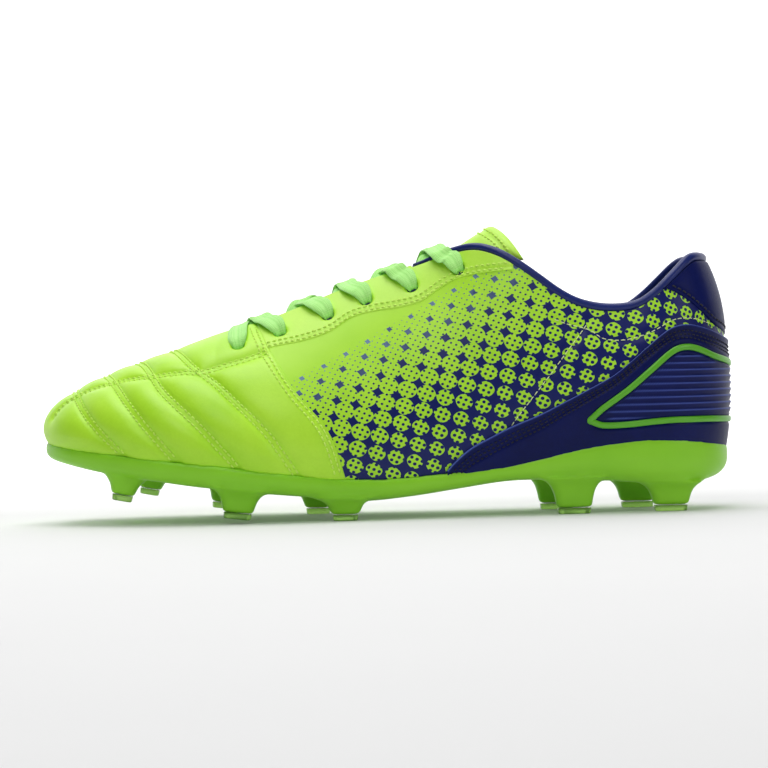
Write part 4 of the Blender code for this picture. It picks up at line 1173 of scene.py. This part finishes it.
def stacked(name, levels, stations, finish):
    """A solid whose sides pass through plan loops, with a ladder of faces across both ends."""
    rings = []
    for grow, height in levels:
        left = rail_points(FEATHER, stations, LATERAL, grow, height(stations))
        right = rail_points(FEATHER, stations[1:-1], MEDIAL, grow, height(stations[1:-1]))
        rings.append(np.concatenate([left, right[::-1]]))
    size, count = len(rings[0]), len(stations)
    faces = grid_faces(len(rings), size, wrap=True).tolist()
    for ring in (0, len(rings) - 1):
        base = ring * size

        def left(i):
            return base + i

        def right(i):
            return base + size - i

        faces.append([left(0), left(1), right(1)])
        faces.append([left(count - 1), left(count - 2), right(count - 2)])
        faces += [[left(i), left(i + 1), right(i + 1), right(i)] for i in range(1, count - 2)]
    points = np.concatenate(rings)
    return new_piece(name, points, faces, [finish], points[:, :2], sharp=False)


def only(obj):
    """Selects one object alone and makes it active."""
    bpy.ops.object.select_all(action="DESELECT")
    obj.select_set(True)
    bpy.context.view_layer.objects.active = obj


def apply_modifier(obj, kind, **settings):
    modifier = obj.modifiers.new(kind.lower(), kind)
    for key, value in settings.items():
        setattr(modifier, key, value)
    only(obj)
    bpy.ops.object.modifier_apply(modifier=modifier.name)


def stud_block(name, length, width, corner, height):
    """A block with rounded upright edges, standing on the origin."""
    bpy.ops.object.select_all(action="DESELECT")
    bpy.ops.mesh.primitive_cube_add(size=1, location=(0, 0, height * MM / 2),
                                    scale=(length * MM, width * MM, height * MM))
    block = bpy.context.object
    block.name = name
    bpy.ops.object.transform_apply(location=True, rotation=False, scale=True)
    bpy.ops.object.mode_set(mode="EDIT")
    bpy.ops.mesh.select_all(action="DESELECT")
    bpy.ops.object.mode_set(mode="OBJECT")
    for edge in block.data.edges:
        first, second = (block.data.vertices[i].co for i in edge.vertices)
        edge.select = abs(first.z - second.z) > height * MM / 2
    bpy.ops.object.mode_set(mode="EDIT")
    bpy.ops.mesh.select_mode(type="EDGE")
    bpy.ops.mesh.bevel(offset=corner * MM, segments=6, affect="EDGES")
    bpy.ops.object.mode_set(mode="OBJECT")
    return block


def flare(block, profile, height):
    """Cuts a block into levels and widens each: profile is (share of the height, extra width)."""
    bpy.ops.object.mode_set(mode="EDIT")
    for share, _ in profile[1:-1]:
        bpy.ops.mesh.select_all(action="SELECT")
        bpy.ops.mesh.bisect(plane_co=(0, 0, share * height * MM), plane_no=(0, 0, 1))
    bpy.ops.object.mode_set(mode="OBJECT")
    shares, growths = zip(*profile)
    xs = [v.co.x for v in block.data.vertices]
    ys = [v.co.y for v in block.data.vertices]
    half_x, half_y = max(xs), max(ys)
    for vertex in block.data.vertices:
        grow = float(np.interp(vertex.co.z / (height * MM), shares, growths)) * MM / 2
        vertex.co.x *= 1 + grow / half_x
        vertex.co.y *= 1 + 0.8 * grow / half_y


def place_stud(obj, stud):
    _, x, y, _, _, foot, tilt = stud
    place = Matrix.Translation(Vector((x, y, foot)) * MM - Vector(BOX_MIDDLE * MM))
    obj.data.transform(place @ Matrix.Rotation(math.radians(tilt), 4, "Y"))


def make_outsole():
    """The sole plate and the stud bodies, fused into one smooth moulding."""

    def rim(q):
        return spline(FEATHER["z"], q) - 0.3

    def down(share):
        return lambda q: rim(q) - share * (rim(q) - spline(UNDERSIDE, q))

    def lip(q):
        return rim(q) + 0.9

    levels = [(-3.6, cup_floor), (-2.6, lambda q: rim(q) - 1.0), (-2.0, rim), (-1.5, rim), (-1.1, lip),
              (1.5, lip), (1.6, down(0.1)), (1.6, down(0.38)), (1.2, down(0.54)), (0.2, down(0.7)),
              (-1.6, down(0.84)), (-4.2, down(0.94)), (-8.0, down(0.99)), (-12.0, down(1.0))]
    stations = evenly(TOE_TIP, 44, TOE_AXIS, 90, HEEL_AXIS, 40, HEEL_BACK)
    sole = stacked("outsole_plate", levels, np.r_[stations, HEEL_BACK], SOLE)
    blocks = []
    for stud in STUDS:
        name, x, _, length, width, foot, _ = stud
        base = underside_at(x) + STUD_SINK - foot
        block = stud_block("block_" + name, length + 0.9, width + 0.7, STUD_CORNER, base)
        low = TIP_JOIN / base
        profile = [(0, 0.0), (low, 0.0), (0.4, 1.0), (0.55, 2.0), (0.68, 3.4), (0.79, 5.4), (0.88, 8.2),
                   (0.95, 11.5), (1, 15)]
        flare(block, profile, base)
        trim_below(block, TIP_JOIN)
        place_stud(block, stud)
        blocks.append(block)
    only(sole)
    for block in blocks:
        block.select_set(True)
    bpy.context.view_layer.objects.active = sole
    bpy.ops.object.join()
    apply_modifier(sole, "REMESH", mode="VOXEL", voxel_size=SOLE_VOXEL * MM, use_smooth_shade=True)
    apply_modifier(sole, "SMOOTH", factor=0.5, iterations=SOLE_SMOOTH)
    sole.data.materials.clear()
    sole.data.materials.append(SOLE)
    dress(sole, "sole_plate", "outsole")


def trim_below(block, height):
    """Cuts the block off flat below a height, closing the cut."""
    only(block)
    bpy.ops.object.mode_set(mode="EDIT")
    bpy.ops.mesh.select_all(action="SELECT")
    bpy.ops.mesh.bisect(plane_co=(0, 0, height * MM), plane_no=(0, 0, 1), use_fill=True,
                        clear_inner=True)
    bpy.ops.object.mode_set(mode="OBJECT")


def make_stud_tips():
    for stud in STUDS:
        name, _, _, length, width, _, _ = stud
        tip = stud_block("stud_tip_" + name + "_cap", length, width, STUD_CORNER, STUD_TIP)
        flare(tip, [(0, -0.7), (0.25, -0.3), (1, 0.1)], STUD_TIP)
        place_stud(tip, stud)
        apply_modifier(tip, "BEVEL", width=0.25 * MM, segments=2, limit_method="ANGLE")
        tip.data.materials.append(TIP)
        tip.data.shade_smooth()
        tip.data.set_sharp_from_angle(angle=math.radians(40))
        dress(tip, "stud_tip", "stud_tip_" + name)


def make_sockliner():
    """The foam sockliner on the insole board, a little dished towards its middle."""

    def above(rise):
        return lambda q: cup_floor(q) + rise

    levels = [(-6.8, above(2.4)), (-6.5, above(5.4)), (-6.7, above(6)), (-8.0, above(5.9)),
              (-12.0, above(5.2)), (-18.0, above(4.9))]
    stations = evenly(TOE_TIP, 26, TOE_AXIS, 50, HEEL_AXIS, 22, HEEL_BACK)
    liner = stacked("sockliner_top", levels, np.r_[stations, HEEL_BACK], SOCK)
    dress(liner, "lining_fabric", "sockliner")


# ---------------------------------------------------------------- stitching

def make_stitching(vamp, quarters, facings, cover, tab):
    quilt, navy, pale = [], [], []
    vamp, cover, tab = surface(vamp), surface(cover), surface(tab)
    t_seam = np.linspace(0.03, 0.955, 160)
    along_cover = np.arange(COVER_FRONT + 1, HEEL_BACK - 1, 0.8)
    back = np.arange(TAB_FRONT + 5, HEEL_BACK, 0.8)
    for side in (LATERAL, MEDIAL):
        quarter, facing = surface(quarters[side]), surface(facings[side])
        for seam in QUILT_SEAMS:
            quilt += double_row(*path_on_skin(seam), side, vamp)
        quilt += double_row(*path_on_skin(APRON_SEAM), side, vamp)
        quilt += double_row(vamp_back(t_seam) - 2.0, t_seam, side, vamp)
        along = np.linspace(-51.5, 51.5, 200)
        quilt += double_row(along, level(FACING_T, along) + 0.014, side, facing)
        for shift in (0.035, 0.056, 0.077):
            navy.append(row_of_stitches(along_cover, level(COVER_T, along_cover) - shift, side, cover,
                                        pitch=2.0, length=1.35, radius=0.28))
        navy.append(row_of_stitches(back, level(TAB_T, back) + 0.03, side, tab))
        for seam in (QUARTER_LINE, QUARTER_CURVE):
            pale.append(row_of_stitches(*path_on_skin(seam), side, quarter, pitch=2.6, length=2.0,
                                        radius=0.2))
    sew("quilting_stitches", quilt, LIGHT_THREAD, "lime_leather")
    sew("heel_stitches", navy, NAVY_THREAD, "navy_leather")
    sew("quarter_stitches", pale, PALE_THREAD, "printed_leather")


# ---------------------------------------------------------------- hidden CAD pieces, stage and camera

def finish_hidden():
    """The CAD pieces that stay as they are, inside the shoe, get their real materials."""
    foam = woven("open_foam", rgb(224, 224, 214), rgb(186, 186, 176), 0.7)
    board = moulded("fibre_board", rgb(206, 190, 158), rgb(176, 158, 124), 0.85)
    sheet = moulded("stiffener_sheet", rgb(196, 198, 202), rgb(166, 168, 172), 0.6)
    for node, finish in (("collar_padding", foam), ("insole_board", board), ("toe_puff", sheet),
                         ("heel_counter", sheet)):
        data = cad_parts[node].data
        data.materials.clear()
        data.materials.append(finish)


VIEW_TURN = math.radians(1.5)
VIEW_FROM = (-1.26 - BOX_MIDDLE[0], -1100.0, 55.3)
VIEW_LENS = 122.8


def make_camera():
    data = bpy.data.cameras.new("studio_camera")
    data.lens, data.sensor_width = VIEW_LENS, 36.0
    camera = link_object("studio_camera", data)
    cosine, sine = math.cos(VIEW_TURN), math.sin(VIEW_TURN)
    x, y, z = (v * MM for v in VIEW_FROM)
    camera.matrix_world = Matrix(((cosine, sine, 0, x), (0, 0, -1, y), (-sine, cosine, 0, z),
                                  (0, 0, 0, 1)))
    bpy.context.scene.camera = camera


def make_light(name, place, size, energy):
    """A square light that faces the middle of the shoe."""
    data = bpy.data.lights.new(name, "AREA")
    data.shape, data.size, data.energy = "SQUARE", size, energy
    light = link_object(name, data)
    light.location = place
    light.rotation_euler = (Vector((0, 0, 0.05)) - Vector(place)).to_track_quat("-Z", "Y").to_euler()


def make_stage():
    """A pale floor that sweeps up behind the shoe, under soft light."""
    bend = [(1.2 + 0.8 * math.sin(a), 0.8 - 0.8 * math.cos(a)) for a in np.linspace(0.1, math.pi / 2, 14)]
    profile = [(-3.0, 0.0), (1.2, 0.0), *bend, (2.0, 4.0)]
    points = [(x, y, z) for x in (-4.0, 4.0) for y, z in profile]
    count = len(profile)
    faces = [(i, i + 1, count + i + 1, count + i) for i in range(count - 1)]
    mesh = bpy.data.meshes.new("studio_floor")
    mesh.from_pydata(points, [], faces)
    mesh.shade_smooth()
    n = Nodes("studio_paper")
    place = n.object_place()
    n.finish(n.mix(n.noise(place, 3.0), (0.68, 0.68, 0.68, 1), (0.72, 0.72, 0.72, 1)), 0.9)
    split = n.add("SeparateXYZ")
    n.tree.links.new(place, split.inputs[0])
    far = n.math("MULTIPLY_ADD", split.outputs[1], 1.1, -0.1, clamp=True)
    n.shader.inputs["Emission Color"].default_value = (1, 1, 1, 1)
    n.join(n.math("MULTIPLY_ADD", far, 0.85, 0.08), n.shader.inputs["Emission Strength"])
    mesh.materials.append(n.material)
    floor = link_object("studio_floor", mesh)
    make_light("key", (-0.3, -1.2, 1.1), 0.6, 5.8)
    make_light("top", (-0.1, 0.0, 1.2), 0.9, 11.6)
    make_light("side", (1.2, -0.8, 0.6), 0.5, 3)
    make_light("back", (0.0, 1.0, 0.9), 1.2, 2)
    world = bpy.data.worlds.new("studio_world")
    world.use_nodes = True
    world.node_tree.nodes["Background"].inputs[0].default_value = (1, 1, 1, 1)
    world.node_tree.nodes["Background"].inputs[1].default_value = 0.05
    bpy.context.scene.world = world
    bpy.context.scene.view_settings.view_transform = "Standard"


make_camera()
make_stage()
upper = (make_vamp(), make_quarters(), make_facings(), make_heel_cover(), make_heel_tab())
make_heel_line()
make_collar()
make_linings()
make_tongue()
make_lace()
make_outsole()
make_stud_tips()
make_sockliner()
make_stitching(*upper)
finish_hidden()
